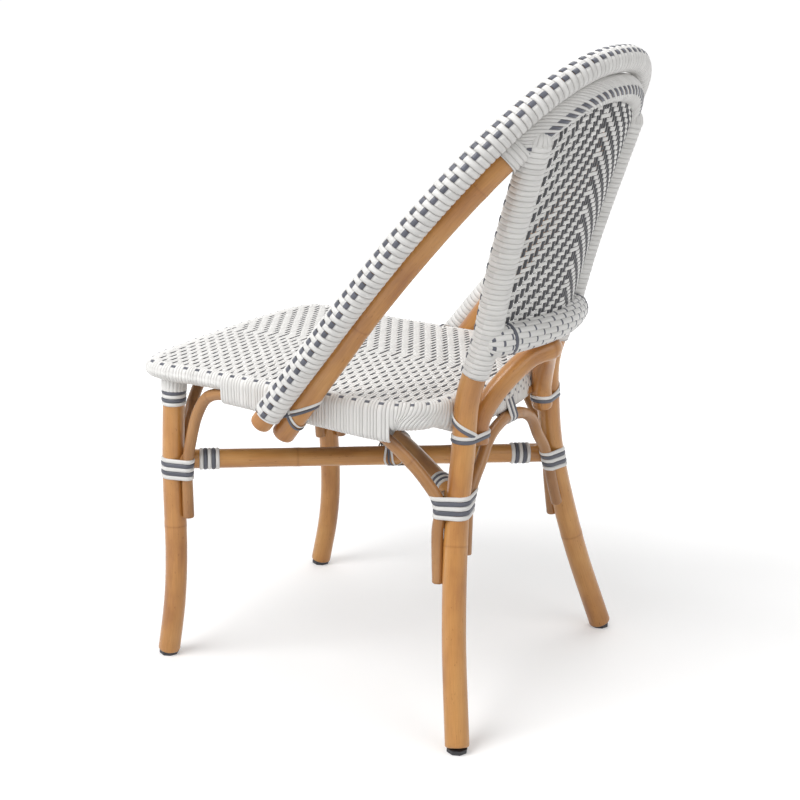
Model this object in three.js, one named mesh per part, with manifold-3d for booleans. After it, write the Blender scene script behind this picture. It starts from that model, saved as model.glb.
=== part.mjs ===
// Rattan bistro armchair with a woven seat and back, in millimetres.
// The sitter faces -Y, the left hand is +X, +Z is up and the floor is z = 0.
import * as THREE from 'three';
import { mergeVertices } from 'three/addons/utils/BufferGeometryUtils.js';
import Module from 'manifold-3d';

const wasm = await Module();
wasm.setup();

// Driving sizes: shares of places are taken of these three
const halfWidth = 200;
const halfDepth = 250;
const seatRailHeight = 427;

// Height above the seat that the post shares over one are taken of
const backHeight = 427;

// Clearances and small common sizes
const gap = 0.3;
const weld = 0.001;

// Pole radii
const postRadius = 16;
const frontLegRadius = 15.5;
const seatPoleRadius = 9;
const rearRailRadius = 9.5;
const archRadius = 8;
const stretcherRadius = 13.5;
const braceRadius = 14.5;
const outerHoopRadius = 14.5;
const innerHoopRadius = 15.6;
const backRailRadius = 15;

// Thickness of the woven and wound covers
const hoopWrapThickness = 2.6;
const innerWrapThickness = 2.4;
const postWrapThickness = 2.4;
const seatCoverThickness = 2;
const rearCoverThickness = 2.5;
const archCoverThickness = 2.5;
const legCoverThickness = 2.5;
const backRailCoverThickness = 5.5;
const panelThickness = 3;

// Strand radii and pitches of the lashings
const lashStrand = 2.4;
const lashPitch = 5.5;
const endStrand = 2.4;
const endPitch = 5.6;
const strapStrand = 1.9;
const strapPitch = 5;
const hoopTieStrand = 1.3;
const hoopTiePitch = 4;
const hoopTieTurns = 2;
const hoopTieAlong = 12;

// Arm and back hoops: one leaning plane, straight arms, a superellipse over the top
const hoopLean = THREE.MathUtils.degToRad(52.34);
const hoopStartBack = -53.5;
const hoopStartDrop = 15.1;
const hoopStartHeight = seatRailHeight - hoopStartDrop;
const armLength = 181.5;
const outerTopRun = 394.7;
const outerHalfWidth = 248.6;
const outerStartHalfWidth = 245.3;
const hoopPower = 2.4;
const bareTip = 23;
const innerDrop = 17.5;
const innerTopInset = 31.6;
const innerSideInset = 28.8;
const innerStartInset = 22.2;
const innerStartDrop = 26;
const innerTip = 24;

// Lashings where the stretchers meet the legs, by their drop below the seat rail
const lowStretcherDrop = 139;
const highStretcherDrop = 126;
const lowStretcherHeight = seatRailHeight - lowStretcherDrop;
const highStretcherHeight = seatRailHeight - highStretcherDrop;

// Hidden pins that hold the poles together
const pinRadius = 1.8;
const pinSides = 6;
const pinReach = 22;
const seatPinShare = 0.62;
const buttSpace = 1.5;
const shortPinReach = 9;
const bracePinDrop = 24;
const postPinDrop = 29.41;

// Foot glides
const glideRadius = 14;
const glideHeight = 6;
const glideEdge = 1.2;
const glidePinRadius = 2;
const glidePinLength = 14;
const glideSides = 8;

// Mesh fineness
const poleSides = 8;
const thinSides = 6;
const strandSides = 4;
const flatTurn = 0.5;
const edgeTurn = 0;
const turnSteps = 12;
const roundTurnSteps = 10;
const hoopSteps = 30;
const hoopWrapSteps = 26;
const innerWrapSteps = 16;
const postSteps = 14;
const postWrapSteps = 9;
const legSteps = 9;
const seatSteps = 30;
const archSteps = 24;
const braceSteps = 18;
const railSteps = 9;
const stretcherSteps = 16;

// Routes of the poles, in shares of half width, half depth and rail height
const rearPostShares = [[1.15, 0.924, 0], [0.93, 0.788, 0.34], [0.73, 0.7, 0.679],
  [0.64, 0.686, 0.87], [0.607, 0.688, 1.03], [0.612, 0.782, 1.218], [0.652, 0.872, 1.452], [0.708, 1.058, 1.83]];
const frontLegShares = [[1.004, -1.05, 0], [1.012, -0.992, 0.2], [1.008, -0.976, 0.36],
  [0.98, -1, 0.7], [0.945, -1.002, 1]];
const cornerShare = 1.02;
const seatHoopShares = [[0, -1.192], [0.45, -1.184], [0.85, -1.16], [0.98, -1.118], [cornerShare, -1],
  [1, -0.8], [0.985, -0.4], [0.978, 0], [0.968, 0.28], [0.93, 0.42], [0.84, 0.515], [0.66, 0.562],
  [0.3, 0.615], [0, 0.632]];

// Lower rear seat rail
const rearRailBack = 158;
const rearRailBow = 2;
const rearRailDrop = 25;
const rearRailHeight = seatRailHeight - rearRailDrop;
const rearRailHalfLength = 122;

// Thin arches: how far their feet reach below the lashings, and the shape of each rise
const archFootDrop = 71;
const sideArchRearFootShare = 1.45;
const sideArchTurn = 0.6;
const sideTopShares = [[0.99, -0.65], [0.985, -0.3], [0.98, 0.05], [0.974, 0.26]];
const sideTopSlope = 0.042;
const sideFrontBendShares = [[0.13, 0.37], [0.32, 0.7], [0.59, 0.92]];
const sideRearBendShares = [[0.2, 0.34], [0.5, 0.68], [0.78, 0.92]];
const frontArchShares = [[0.08, 0.45], [0.3, 0.82], [0.62, 0.97]];
const frontArchTopShare = -1.155;
const rearArchTurn = 0.1;
const rearArchSetBack = 12;
const rearArchShares = [[0.13, 0.27], [0.29, 0.5], [0.445, 0.77], [0.6, 0.9], [0.8, 0.975]];

// Where the wound covers of the inner hoop and the posts begin
const shoulderHalf = 168;
const postWrapDrop = 46.5;

// Back rail, brace arch and woven back
const backRailAboveSeat = 92.5;
const backRailHeight = seatRailHeight + backRailAboveSeat;
const backRailBow = 31;
const backRailRise = 4;
const backRailSetBack = 8;
const braceSetForward = 5;
const braceTurn = 0.16;
const braceLegDrops = [69, 51, 24];
const braceBendShares = [[0.14, 0.3], [0.4, 0.64], [0.72, 0.92]];
const panelTopHalf = 134;
const panelBow = 10;
const panelColumns = 6;
const panelRows = 7;

// Stretchers, lashings and bands
const stretcherBowShare = 0.62;
const frontStretcherLift = 9;
const rearStretcherLift = 3;
const lashTurns = 5;
const endTurns = 5;
const frontEndSetBack = 50;
const rearEndSetBack = 50;
const legBandDrop = 36;
const legBandHeight = seatRailHeight - legBandDrop;
const legBandPitch = 5.4;
const legBandTurns = 4;
const legCoverStep = 14;
const strapDrop = 44.5;
const strapTurns = 2;
const archStrapTurns = 4;
const crossTurns = 4;
const turnWeight = 0.8;
const chordSlack = 1.1;

// Seat cover
const seatMiddleShare = -0.24;
const seatRimDrop = 1.5;
const seatDome = 7;
const seatThickness = 6;
const seatOutlineSteps = 20;
const seatRowShares = [0.25, 0.5, 0.75, 1];
const rearCoverEndShare = 0.09;
const bindingFrontShare = -0.63;
const bindingRearShare = 0.44;

// Look of each material
const rattan = new THREE.MeshStandardMaterial({ color: 0xc58e55, roughness: 0.42, metalness: 0 });
const shadeRattan = new THREE.MeshStandardMaterial({ color: 0xb07c48, roughness: 0.45, metalness: 0 });
const whiteStrand = new THREE.MeshStandardMaterial({ color: 0xe2dfda, roughness: 0.5, metalness: 0 });
const greyStrand = new THREE.MeshStandardMaterial({ color: 0x5d5f68, roughness: 0.5, metalness: 0 });
const wovenStrand = new THREE.MeshStandardMaterial({ color: 0xc9c7c4, roughness: 0.55, metalness: 0 });
const steel = new THREE.MeshStandardMaterial({ color: 0x9a9a98, roughness: 0.35, metalness: 1 });
const glidePlastic = new THREE.MeshStandardMaterial({ color: 0x34343a, roughness: 0.6, metalness: 0 });

// Curves and solids

function place(side, [xShare, yShare, zShare]) {
  const height = Math.min(zShare, 1) * seatRailHeight + Math.max(zShare - 1, 0) * backHeight;
  return new THREE.Vector3(side * xShare * halfWidth, yShare * halfDepth, height);
}

function routeThrough(points) {
  return new THREE.CatmullRomCurve3(points, false, 'centripetal');
}

function stretch(curve, from, to, count = 24) {
  const points = [];
  for (let k = 0; k <= count; k += 1) {
    points.push(curve.getPointAt(from + ((to - from) * k) / count));
  }
  return routeThrough(points);
}

// The share of a curve's length at which one coordinate first reaches a value
function shareAt(curve, axis, value, from = 0, to = 1) {
  const samples = 400;
  let before = curve.getPointAt(from)[axis] - value;
  for (let k = 1; k <= samples; k += 1) {
    const share = from + ((to - from) * k) / samples;
    const after = curve.getPointAt(share)[axis] - value;
    if (before === 0 || before * after <= 0) {
      return share;
    }
    before = after;
  }
  return Math.abs(curve.getPointAt(from)[axis] - value) < Math.abs(before) ? from : to;
}

function pointAt(curve, axis, value) {
  return curve.getPointAt(shareAt(curve, axis, value));
}

function ring(radius, sides, turn = flatTurn) {
  const points = [];
  for (let k = 0; k < sides; k += 1) {
    const angle = (2 * Math.PI * (k + turn)) / sides;
    points.push(new THREE.Vector2(radius * Math.cos(angle), radius * Math.sin(angle)));
  }
  return points;
}

function solidOf(geometry) {
  const bare = new THREE.BufferGeometry();
  bare.setAttribute('position', geometry.attributes.position);
  bare.setIndex(geometry.index);
  const merged = mergeVertices(bare, weld);
  const mesh = new wasm.Mesh({
    numProp: 3,
    vertProperties: new Float32Array(merged.attributes.position.array),
    triVerts: new Uint32Array(merged.index.array),
  });
  return new wasm.Manifold(mesh);
}

function pole(curve, radius, steps, sides = poleSides, turn = flatTurn) {
  const shape = new THREE.Shape(ring(radius, sides, turn));
  return solidOf(new THREE.ExtrudeGeometry(shape, { steps, bevelEnabled: false, extrudePath: curve }));
}

function box(low, high) {
  const size = new THREE.Vector3().subVectors(high, low);
  const geometry = new THREE.BoxGeometry(size.x, size.y, size.z);
  geometry.translate((low.x + high.x) / 2, (low.y + high.y) / 2, (low.z + high.z) / 2);
  return solidOf(geometry);
}

// Every finished solid by its name, with its material
const pieces = new Map();

function add(name, solid, material) {
  pieces.set(name, { solid, material });
}

function cut(name, ...tools) {
  const piece = pieces.get(name);
  for (const tool of tools) {
    piece.solid = piece.solid.subtract(tool);
  }
}

// Loops that bind poles together

// Points where a pole's surface passes through the plane at `height` along `normal`
function sectionPoints(curve, radius, frame, height, count = 24) {
  const samples = 300;
  const level = (point) => point.clone().sub(frame.origin).dot(frame.normal) - height;
  let best = null;
  for (let k = 0; k < samples; k += 1) {
    const a = level(curve.getPointAt(k / samples));
    const b = level(curve.getPointAt((k + 1) / samples));
    const share = (k + (a === b ? 0 : a / (a - b))) / samples;
    if (a * b <= 0) {
      const centre = curve.getPointAt(Math.min(1, Math.max(0, share)));
      const reach = centre.distanceTo(frame.origin);
      if (!best || reach < best.reach) {
        best = { reach, centre, tangent: curve.getTangentAt(Math.min(1, Math.max(0, share))) };
      }
    }
  }
  if (!best) {
    return [];
  }
  const first = new THREE.Vector3().crossVectors(best.tangent, frame.u).normalize();
  const second = new THREE.Vector3().crossVectors(best.tangent, first).normalize();
  const points = [];
  for (let k = 0; k < count; k += 1) {
    const angle = (2 * Math.PI * k) / count;
    const point = best.centre.clone()
      .addScaledVector(first, radius * Math.cos(angle))
      .addScaledVector(second, radius * Math.sin(angle));
    const slide = level(point) / best.tangent.dot(frame.normal);
    point.addScaledVector(best.tangent, -slide);
    const offset = point.sub(frame.origin);
    points.push(new THREE.Vector2(offset.dot(frame.u), offset.dot(frame.v)));
  }
  return points;
}

function hull(points) {
  const sorted = [...points].sort((a, b) => a.x - b.x || a.y - b.y);
  const turn = (o, a, b) => (a.x - o.x) * (b.y - o.y) - (a.y - o.y) * (b.x - o.x);
  const half = (list) => {
    const chain = [];
    for (const point of list) {
      while (chain.length > 1 && turn(chain[chain.length - 2], chain[chain.length - 1], point) <= 0) {
        chain.pop();
      }
      chain.push(point);
    }
    chain.pop();
    return chain;
  };
  return [...half(sorted), ...half(sorted.reverse())];
}

// Closed outline at a distance outside a hull, as evenly spaced points
function outlineAround(points, distance, count) {
  const grown = [];
  for (const point of points) {
    for (const offset of ring(distance, 24)) {
      grown.push(point.clone().add(offset));
    }
  }
  const edge = hull(grown);
  const lengths = [0];
  const corners = edge.length;
  let around = 0;
  edge.forEach((point, k) => {
    around += point.distanceTo(edge[(k + 1) % corners]);
  });
  edge.forEach((point, k) => {
    const ahead = edge[(k + 1) % corners].clone().sub(point);
    const beyond = edge[(k + 2) % corners].clone().sub(edge[(k + 1) % corners]);
    const turned = Math.abs(Math.atan2(ahead.cross(beyond), ahead.dot(beyond))) / (2 * Math.PI);
    lengths.push(lengths[k] + (1 - turnWeight) * (ahead.length() / around) + turnWeight * turned);
  });
  const total = lengths[edge.length];
  const even = [];
  for (let k = 0; k < count; k += 1) {
    const run = (total * k) / count;
    let n = 0;
    while (lengths[n + 1] < run) {
      n += 1;
    }
    const share = (run - lengths[n]) / (lengths[n + 1] - lengths[n]);
    even.push(edge[n].clone().lerp(edge[(n + 1) % edge.length], share));
  }
  return even;
}

// Least distance between one turn and the next, less the strand's own width
const selfGaps = [];

function leastSelfGap(points, stepsPerTurn, radius) {
  let least = Infinity;
  for (let a = 0; a < points.length; a += 1) {
    for (let b = a + Math.ceil(stepsPerTurn / 2); b < points.length; b += 1) {
      least = Math.min(least, points[a].distanceTo(points[b]));
    }
  }
  return least - 2 * radius;
}

// A strand wound round the given poles: one unbroken tube that climbs a pitch a turn
function winding(name, { origin, normal, poles, strand, pitch, turns, material, steps = turnSteps }) {
  const axis = normal.clone().normalize();
  const helper = Math.abs(axis.z) > 0.8 ? new THREE.Vector3(1, 0, 0) : new THREE.Vector3(0, 0, 1);
  const u = new THREE.Vector3().crossVectors(helper, axis).normalize();
  const v = new THREE.Vector3().crossVectors(axis, u).normalize();
  const frame = { origin, normal: axis, u, v };
  const height = turns * pitch;
  const marks = [];
  for (const { curve, radius } of poles) {
    for (const share of [-0.5, 0, 0.5]) {
      marks.push(...sectionPoints(curve, radius, frame, share * height));
    }
  }
  const flat = hull(marks);
  const seated = strand * Math.cos(Math.PI / strandSides) + gap + chordSlack;
  const outline = outlineAround(flat, seated, steps);
  const points = [];
  for (let k = 0; k <= turns * steps; k += 1) {
    const climb = ((k / steps) * pitch) - height / 2;
    const { x, y } = outline[k % steps];
    points.push(origin.clone().addScaledVector(u, x).addScaledVector(v, y).addScaledVector(axis, climb));
  }
  selfGaps.push([name, leastSelfGap(points, steps, strand)]);
  const body = solidOf(strandTube(points, strand, axis));
  add(name, body, material);
  const space = solidOf(strandTube(points, strand + gap, axis));
  return { frame, marks: flat, space };
}

// A tube of few sides through points, its section turned from a fixed axis
function strandTube(points, radius, axis) {
  const rows = points.map((point, k) => {
    const ahead = points[Math.min(k + 1, points.length - 1)];
    const behind = points[Math.max(k - 1, 0)];
    const along = new THREE.Vector3().subVectors(ahead, behind).normalize();
    const out = new THREE.Vector3().crossVectors(along, axis).normalize();
    const up = new THREE.Vector3().crossVectors(out, along);
    return ring(radius, strandSides).map(({ x, y }) => (
      point.clone().addScaledVector(out, x).addScaledVector(up, y)));
  });
  return loft(rows);
}

// A closed body through rows of points, with a fan over each end, about an apex where one is given
function loft(rows, firstApex = rows[0][0], lastApex = rows[rows.length - 1][0]) {
  const sides = rows[0].length;
  const positions = [];
  const face = (a, b, c) => positions.push(...a.toArray(), ...b.toArray(), ...c.toArray());
  for (let k = 0; k + 1 < rows.length; k += 1) {
    for (let n = 0; n < sides; n += 1) {
      const next = (n + 1) % sides;
      face(rows[k][n], rows[k + 1][n], rows[k + 1][next]);
      face(rows[k][n], rows[k + 1][next], rows[k][next]);
    }
  }
  for (let n = 0; n < sides; n += 1) {
    const last = rows[rows.length - 1];
    const next = (n + 1) % sides;
    if (firstApex !== rows[0][n] && firstApex !== rows[0][next]) {
      face(firstApex, rows[0][n], rows[0][next]);
    }
    if (lastApex !== last[n] && lastApex !== last[next]) {
      face(lastApex, last[next], last[n]);
    }
  }
  const geometry = new THREE.BufferGeometry();
  geometry.setAttribute('position', new THREE.Float32BufferAttribute(positions, 3));
  return geometry;
}

// Legs and posts

const sides = { left: 1, right: -1 };

const postRoutes = {};
const frontRoutes = {};
for (const [hand, side] of Object.entries(sides)) {
  postRoutes[hand] = routeThrough(rearPostShares.map((shares) => place(side, shares)));
  frontRoutes[hand] = routeThrough(frontLegShares.map((shares) => place(side, shares)));
}

function footed(curve, radius, steps) {
  const start = curve.getPointAt(0);
  const lean = curve.getTangentAt(0);
  const below = start.clone().addScaledVector(lean, -radius * 2);
  const lengthened = routeThrough([below, ...stretch(curve, 0, 1, steps).points]);
  const floor = box(
    new THREE.Vector3(-3 * halfWidth, -3 * halfDepth, -seatRailHeight),
    new THREE.Vector3(3 * halfWidth, 3 * halfDepth, glideHeight + gap),
  );
  return pole(lengthened, radius, steps).subtract(floor);
}

const postCores = {};
const legCores = {};
for (const hand of Object.keys(sides)) {
  add(`rear_post_${hand}`, footed(postRoutes[hand], postRadius, postSteps), rattan);
  postCores[hand] = footed(postRoutes[hand], postRadius + gap, postSteps);
  legCores[hand] = footed(frontRoutes[hand], frontLegRadius + gap, legSteps);
  const lid = box(
    new THREE.Vector3(-3 * halfWidth, -3 * halfDepth, seatRailHeight - seatPoleRadius - gap),
    new THREE.Vector3(3 * halfWidth, 3 * halfDepth, 2 * seatRailHeight),
  );
  add(`front_leg_${hand}`, footed(frontRoutes[hand], frontLegRadius, legSteps).subtract(lid), rattan);
}

// Glides under the four feet, each with its pin in the leg
const glideProfile = [
  [0, 0], [glideRadius - glideEdge, 0], [glideRadius, glideEdge], [glideRadius, glideHeight],
  [glidePinRadius, glideHeight], [glidePinRadius, glideHeight + glidePinLength],
  [0, glideHeight + glidePinLength],
].map(([x, y]) => new THREE.Vector2(x, y));

function glideAt(curve, name, leg) {
  const foot = pointAt(curve, 'z', glideHeight);
  const upright = new THREE.LatheGeometry(glideProfile, glideSides).rotateX(Math.PI / 2);
  add(name, solidOf(upright.translate(foot.x, foot.y, 0)), glidePlastic);
  const socket = new THREE.CylinderGeometry(
    glidePinRadius + gap, glidePinRadius + gap, glidePinLength + glideHeight + gap, glideSides);
  socket.rotateX(Math.PI / 2).translate(foot.x, foot.y, (glidePinLength + glideHeight + gap) / 2);
  cut(leg, solidOf(socket));
}

for (const hand of Object.keys(sides)) {
  glideAt(postRoutes[hand], `glide_rear_${hand}`, `rear_post_${hand}`);
  glideAt(frontRoutes[hand], `glide_front_${hand}`, `front_leg_${hand}`);
}

// Seat frame: one bent pole, its ends butted at the middle of the rear

function seatPoint(side, [xShare, yShare]) {
  return new THREE.Vector3(side * xShare * halfWidth, yShare * halfDepth, seatRailHeight);
}

const seatLoop = [
  ...[...seatHoopShares].reverse().map((shares) => seatPoint(-1, shares)),
  ...seatHoopShares.slice(1).map((shares) => seatPoint(1, shares)),
];
seatLoop[0].x = -gap / 2;
seatLoop[seatLoop.length - 1].x = gap / 2;
const seatRoute = routeThrough(seatLoop);
add('seat_frame_hoop', pole(seatRoute, seatPoleRadius, seatSteps, poleSides, edgeTurn), shadeRattan);

// Lower rear seat rail, in front of the posts
const rearRailPoints = [-1, -0.6, 0, 0.6, 1].map((share) => new THREE.Vector3(
  share * rearRailHalfLength, rearRailBack + rearRailBow * (1 - share * share), rearRailHeight));
const rearRailRoute = routeThrough(rearRailPoints);
add('rear_seat_rail', pole(rearRailRoute, rearRailRadius, railSteps), shadeRattan);

// Thin arches under the seat, beside the legs and up to the rails

function beside(curve, height, outward, back, distance) {
  const centre = pointAt(curve, 'z', height);
  const step = new THREE.Vector3(outward, back, 0).normalize();
  return centre.addScaledVector(step, distance);
}

const archTopHeight = seatRailHeight - seatPoleRadius - seatCoverThickness - archRadius - gap;
const sideArchRoutes = {};
const frontLash = { left: lowStretcherHeight, right: highStretcherHeight };
const rearLash = { left: highStretcherHeight, right: lowStretcherHeight };

for (const [hand, side] of Object.entries(sides)) {
  const front = frontRoutes[hand];
  const rear = postRoutes[hand];
  const besideFront = frontLegRadius + archRadius + gap;
  const besideRear = postRadius + archRadius + gap;
  const sink = (yShare) => sideTopSlope * halfDepth * (yShare - sideTopShares[0][1]);
  const tops = sideTopShares.map(([x, y]) => new THREE.Vector3(
    side * x * halfWidth, y * halfDepth, archTopHeight - sink(y)));
  const frontKnee = beside(front, frontLash[hand], 0, 1, besideFront);
  const rearKnee = beside(rear, rearLash[hand], side, -1, besideRear);
  const bend = (knee, top, [along, up]) => knee.clone().lerp(top, along).setZ(knee.z + up * (top.z - knee.z));
  sideArchRoutes[hand] = routeThrough([
    beside(front, frontLash[hand] - archFootDrop, 0, 1, besideFront),
    beside(front, frontLash[hand] - archFootDrop / 2, 0, 1, besideFront),
    frontKnee,
    ...sideFrontBendShares.map((shares) => bend(frontKnee, tops[0], shares)),
    ...tops,
    ...[...sideRearBendShares].reverse().map((shares) => bend(rearKnee, tops[3], shares)),
    rearKnee,
    beside(rear, rearLash[hand] - archFootDrop / 2, sideArchTurn * side, -1, besideRear),
    beside(rear, rearLash[hand] - sideArchRearFootShare * archFootDrop, 0, -1, besideRear),
  ]);
  add(`side_arch_${hand}`, pole(sideArchRoutes[hand], archRadius, archSteps, thinSides), shadeRattan);
}

const frontArchTop = new THREE.Vector3(0, frontArchTopShare * halfDepth, archTopHeight);
const rearArchStep = rearRailRadius + rearCoverThickness + archRadius + gap;
const rearArchTop = new THREE.Vector3(0, rearRailBack + rearRailBow + rearArchSetBack,
  rearRailHeight - Math.sqrt(rearArchStep ** 2 - rearArchSetBack ** 2));

function archBetween(routes, radius, lashes, turn, top, riseShares, name) {
  const half = (hand, side) => {
    const distance = radius + archRadius + gap;
    const knee = beside(routes[hand], lashes[hand], -side, turn, distance);
    const low = beside(routes[hand], lashes[hand] - archFootDrop / 2, -side, turn, distance);
    const foot = beside(routes[hand], lashes[hand] - archFootDrop, -side, turn, distance);
    const rise = riseShares.map(([along, up]) => {
      const point = knee.clone().lerp(top, along);
      point.z = knee.z + up * (top.z - knee.z);
      return point;
    });
    return [foot, low, knee, ...rise];
  };
  const route = routeThrough([...half('right', -1), top, ...half('left', 1).reverse()]);
  add(name, pole(route, archRadius, archSteps, thinSides), shadeRattan);
  return route;
}

const frontArchRoute = archBetween(
  frontRoutes, frontLegRadius, frontLash, 0, frontArchTop, frontArchShares, 'front_arch');
const rearArchRoute = archBetween(
  postRoutes, postRadius, rearLash, rearArchTurn, rearArchTop, rearArchShares, 'rear_arch');
for (const hand of Object.keys(sides)) {
  cut(`side_arch_${hand}`, legCores[hand], postCores[hand]);
  cut('front_arch', legCores[hand]);
  cut('rear_arch', postCores[hand]);
}

// Back hoops

const hoopAlong = new THREE.Vector3(0, Math.cos(hoopLean), Math.sin(hoopLean));
const hoopBelow = new THREE.Vector3(0, Math.sin(hoopLean), -Math.cos(hoopLean));
const hoopStart = new THREE.Vector3(0, hoopStartBack, hoopStartHeight);

function hoopPoint(x, along, below) {
  return hoopStart.clone().addScaledVector(hoopAlong, along).addScaledVector(hoopBelow, below)
    .setX(x);
}

function hoopRoute({ tip, startHalf, half, topRun, startBelow, below }) {
  const arm = [];
  const armSteps = 5;
  for (let k = 0; k <= armSteps; k += 1) {
    const share = k / armSteps;
    const along = -tip + share * (armLength + tip);
    const x = THREE.MathUtils.lerp(startHalf, half, share);
    arm.push([x, along, THREE.MathUtils.lerp(startBelow, below, share)]);
  }
  const bow = [];
  const bowSteps = 14;
  for (let k = 1; k <= bowSteps; k += 1) {
    const angle = (Math.PI / 2) * (k / bowSteps);
    const x = k === bowSteps ? 0 : half * Math.cos(angle) ** (2 / hoopPower);
    bow.push([x, armLength + topRun * Math.sin(angle) ** (2 / hoopPower), below]);
  }
  const one = [...arm, ...bow];
  const left = one.map(([x, along, down]) => hoopPoint(x, along, down));
  const right = one.slice(0, -1).map(([x, along, down]) => hoopPoint(-x, along, down));
  return routeThrough([...right, ...left.reverse()]);
}

const outerRoute = hoopRoute({
  tip: bareTip,
  startHalf: outerStartHalfWidth,
  half: outerHalfWidth,
  topRun: outerTopRun,
  startBelow: 0,
  below: 0,
});
const innerRoute = hoopRoute({
  tip: innerTip,
  startHalf: outerStartHalfWidth - innerStartInset,
  half: outerHalfWidth - innerSideInset,
  topRun: outerTopRun - innerTopInset,
  startBelow: innerStartDrop,
  below: innerDrop,
});

const outerLength = outerRoute.getLength();
const outerWrapRadius = outerHoopRadius + hoopWrapThickness;
const innerWrapRadius = innerHoopRadius + innerWrapThickness;
add('outer_hoop', pole(outerRoute, outerHoopRadius, hoopSteps), rattan);
const outerWrapRoute = stretch(outerRoute, bareTip / outerLength, 1 - bareTip / outerLength, 60);
add('outer_hoop_wrap', pole(outerWrapRoute, outerWrapRadius, hoopWrapSteps), whiteStrand);
add('inner_hoop', pole(innerRoute, innerHoopRadius, hoopSteps), rattan);
const innerWrapRoute = stretch(innerRoute, shareAt(innerRoute, 'x', -shoulderHalf, 0.2, 0.5),
  shareAt(innerRoute, 'x', shoulderHalf, 0.5, 0.8), 40);
add('inner_hoop_wrap', pole(innerWrapRoute, innerWrapRadius, innerWrapSteps), whiteStrand);

// Ends of the two hoops' plain poles stay bare; the posts butt under the inner hoop
const innerCore = pole(innerRoute, innerHoopRadius + gap, hoopSteps);
const innerCover = pole(innerWrapRoute, innerWrapRadius + gap, innerWrapSteps);
const outerCover = pole(outerWrapRoute, outerWrapRadius + gap, hoopWrapSteps);
const outerCore = pole(outerRoute, outerHoopRadius + gap, hoopSteps);
cut('outer_hoop_wrap', outerCore);
cut('inner_hoop', outerCover);
cut('inner_hoop_wrap', innerCore, outerCover);

const postWrapRadius = postRadius + postWrapThickness;
const postCovers = {};
for (const hand of Object.keys(sides)) {
  const post = postRoutes[hand];
  const wrapRoute = stretch(post, shareAt(post, 'z', backRailHeight - postWrapDrop), 1, 16);
  cut(`rear_post_${hand}`, innerCore, innerCover);
  add(`rear_post_wrap_${hand}`, pole(wrapRoute, postWrapRadius, postWrapSteps), whiteStrand);
  cut(`rear_post_wrap_${hand}`, postCores[hand], innerCore, innerCover);
  postCovers[hand] = pole(wrapRoute, postWrapRadius + gap, postWrapSteps);
}

// Lower back rail between the posts, bowed to the rear
const backRailEnd = pointAt(postRoutes.left, 'z', backRailHeight);
backRailEnd.y += backRailSetBack;

function backRailPoint(share) {
  const bow = 1 - share * share;
  return new THREE.Vector3(
    share * backRailEnd.x, backRailEnd.y + backRailBow * bow, backRailHeight + backRailRise * bow);
}

const backRailPoints = [];
for (let k = 0; k <= railSteps; k += 1) {
  backRailPoints.push(backRailPoint((2 * k) / railSteps - 1));
}
const backRailRoute = routeThrough(backRailPoints);
const backRailCoverRadius = backRailRadius + backRailCoverThickness;
add('lower_back_rail', pole(backRailRoute, backRailRadius, railSteps), shadeRattan);
cut('lower_back_rail', postCores.left, postCores.right);
const backRailCore = pole(backRailRoute, backRailRadius + gap, railSteps);
add('lower_back_rail_cover', pole(backRailRoute, backRailCoverRadius, railSteps), wovenStrand);
cut('lower_back_rail_cover', backRailCore, postCovers.left, postCovers.right);
cut('lower_back_rail_cover', postCores.left, postCores.right);
const backRailCover = pole(backRailRoute, backRailCoverRadius + gap, railSteps);
cut('rear_post_wrap_left', backRailCore);
cut('rear_post_wrap_right', backRailCore);

// Brace arch behind the posts, its top under the lower back rail
const braceStep = backRailCoverRadius + braceRadius + gap;
const braceTop = backRailPoint(0);
braceTop.y -= braceSetForward;
braceTop.z -= Math.sqrt(braceStep ** 2 - braceSetForward ** 2);
const braceBeside = postRadius + braceRadius + gap;

function braceHalf(hand, side) {
  const post = postRoutes[hand];
  const legs = braceLegDrops.map((drop) => (
    beside(post, seatRailHeight - drop, -side, braceTurn, braceBeside)));
  const knee = legs[legs.length - 1];
  const rise = braceBendShares.map(([along, up]) => (
    knee.clone().lerp(braceTop, along).setZ(knee.z + up * (braceTop.z - knee.z))));
  return [...legs, ...rise];
}

const braceRoute = routeThrough([...braceHalf('right', -1), braceTop, ...braceHalf('left', 1).reverse()]);
add('back_brace_arch', pole(braceRoute, braceRadius, braceSteps), rattan);
cut('back_brace_arch', postCores.left, postCores.right, backRailCover, postCovers.left, postCovers.right);
cut('rear_seat_rail', postCores.left, postCores.right);
const braceCore = pole(braceRoute, braceRadius + gap, braceSteps);
cut('rear_seat_rail', braceCore);

// Woven back: a thin sheet between the posts, the lower rail and the inner hoop

function panelPoint(across, up) {
  const low = backRailPoint(across);
  const high = innerRoute.getPointAt(shareAt(innerRoute, 'x', across * panelTopHalf, 0.3, 0.7));
  const height = THREE.MathUtils.lerp(low.z, high.z, up);
  const flat = low.clone().lerp(high, up);
  const post = pointAt(postRoutes.left, 'z', height);
  const edgeLow = backRailPoint(1);
  const edgeHigh = innerRoute.getPointAt(shareAt(innerRoute, 'x', panelTopHalf, 0.5, 0.7));
  const edge = edgeLow.clone().lerp(edgeHigh, up);
  flat.x += across * (post.x - edge.x);
  flat.y += Math.abs(across) * (post.y - edge.y) + panelBow * (1 - across * across) * up * (1 - up);
  return flat;
}

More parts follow.
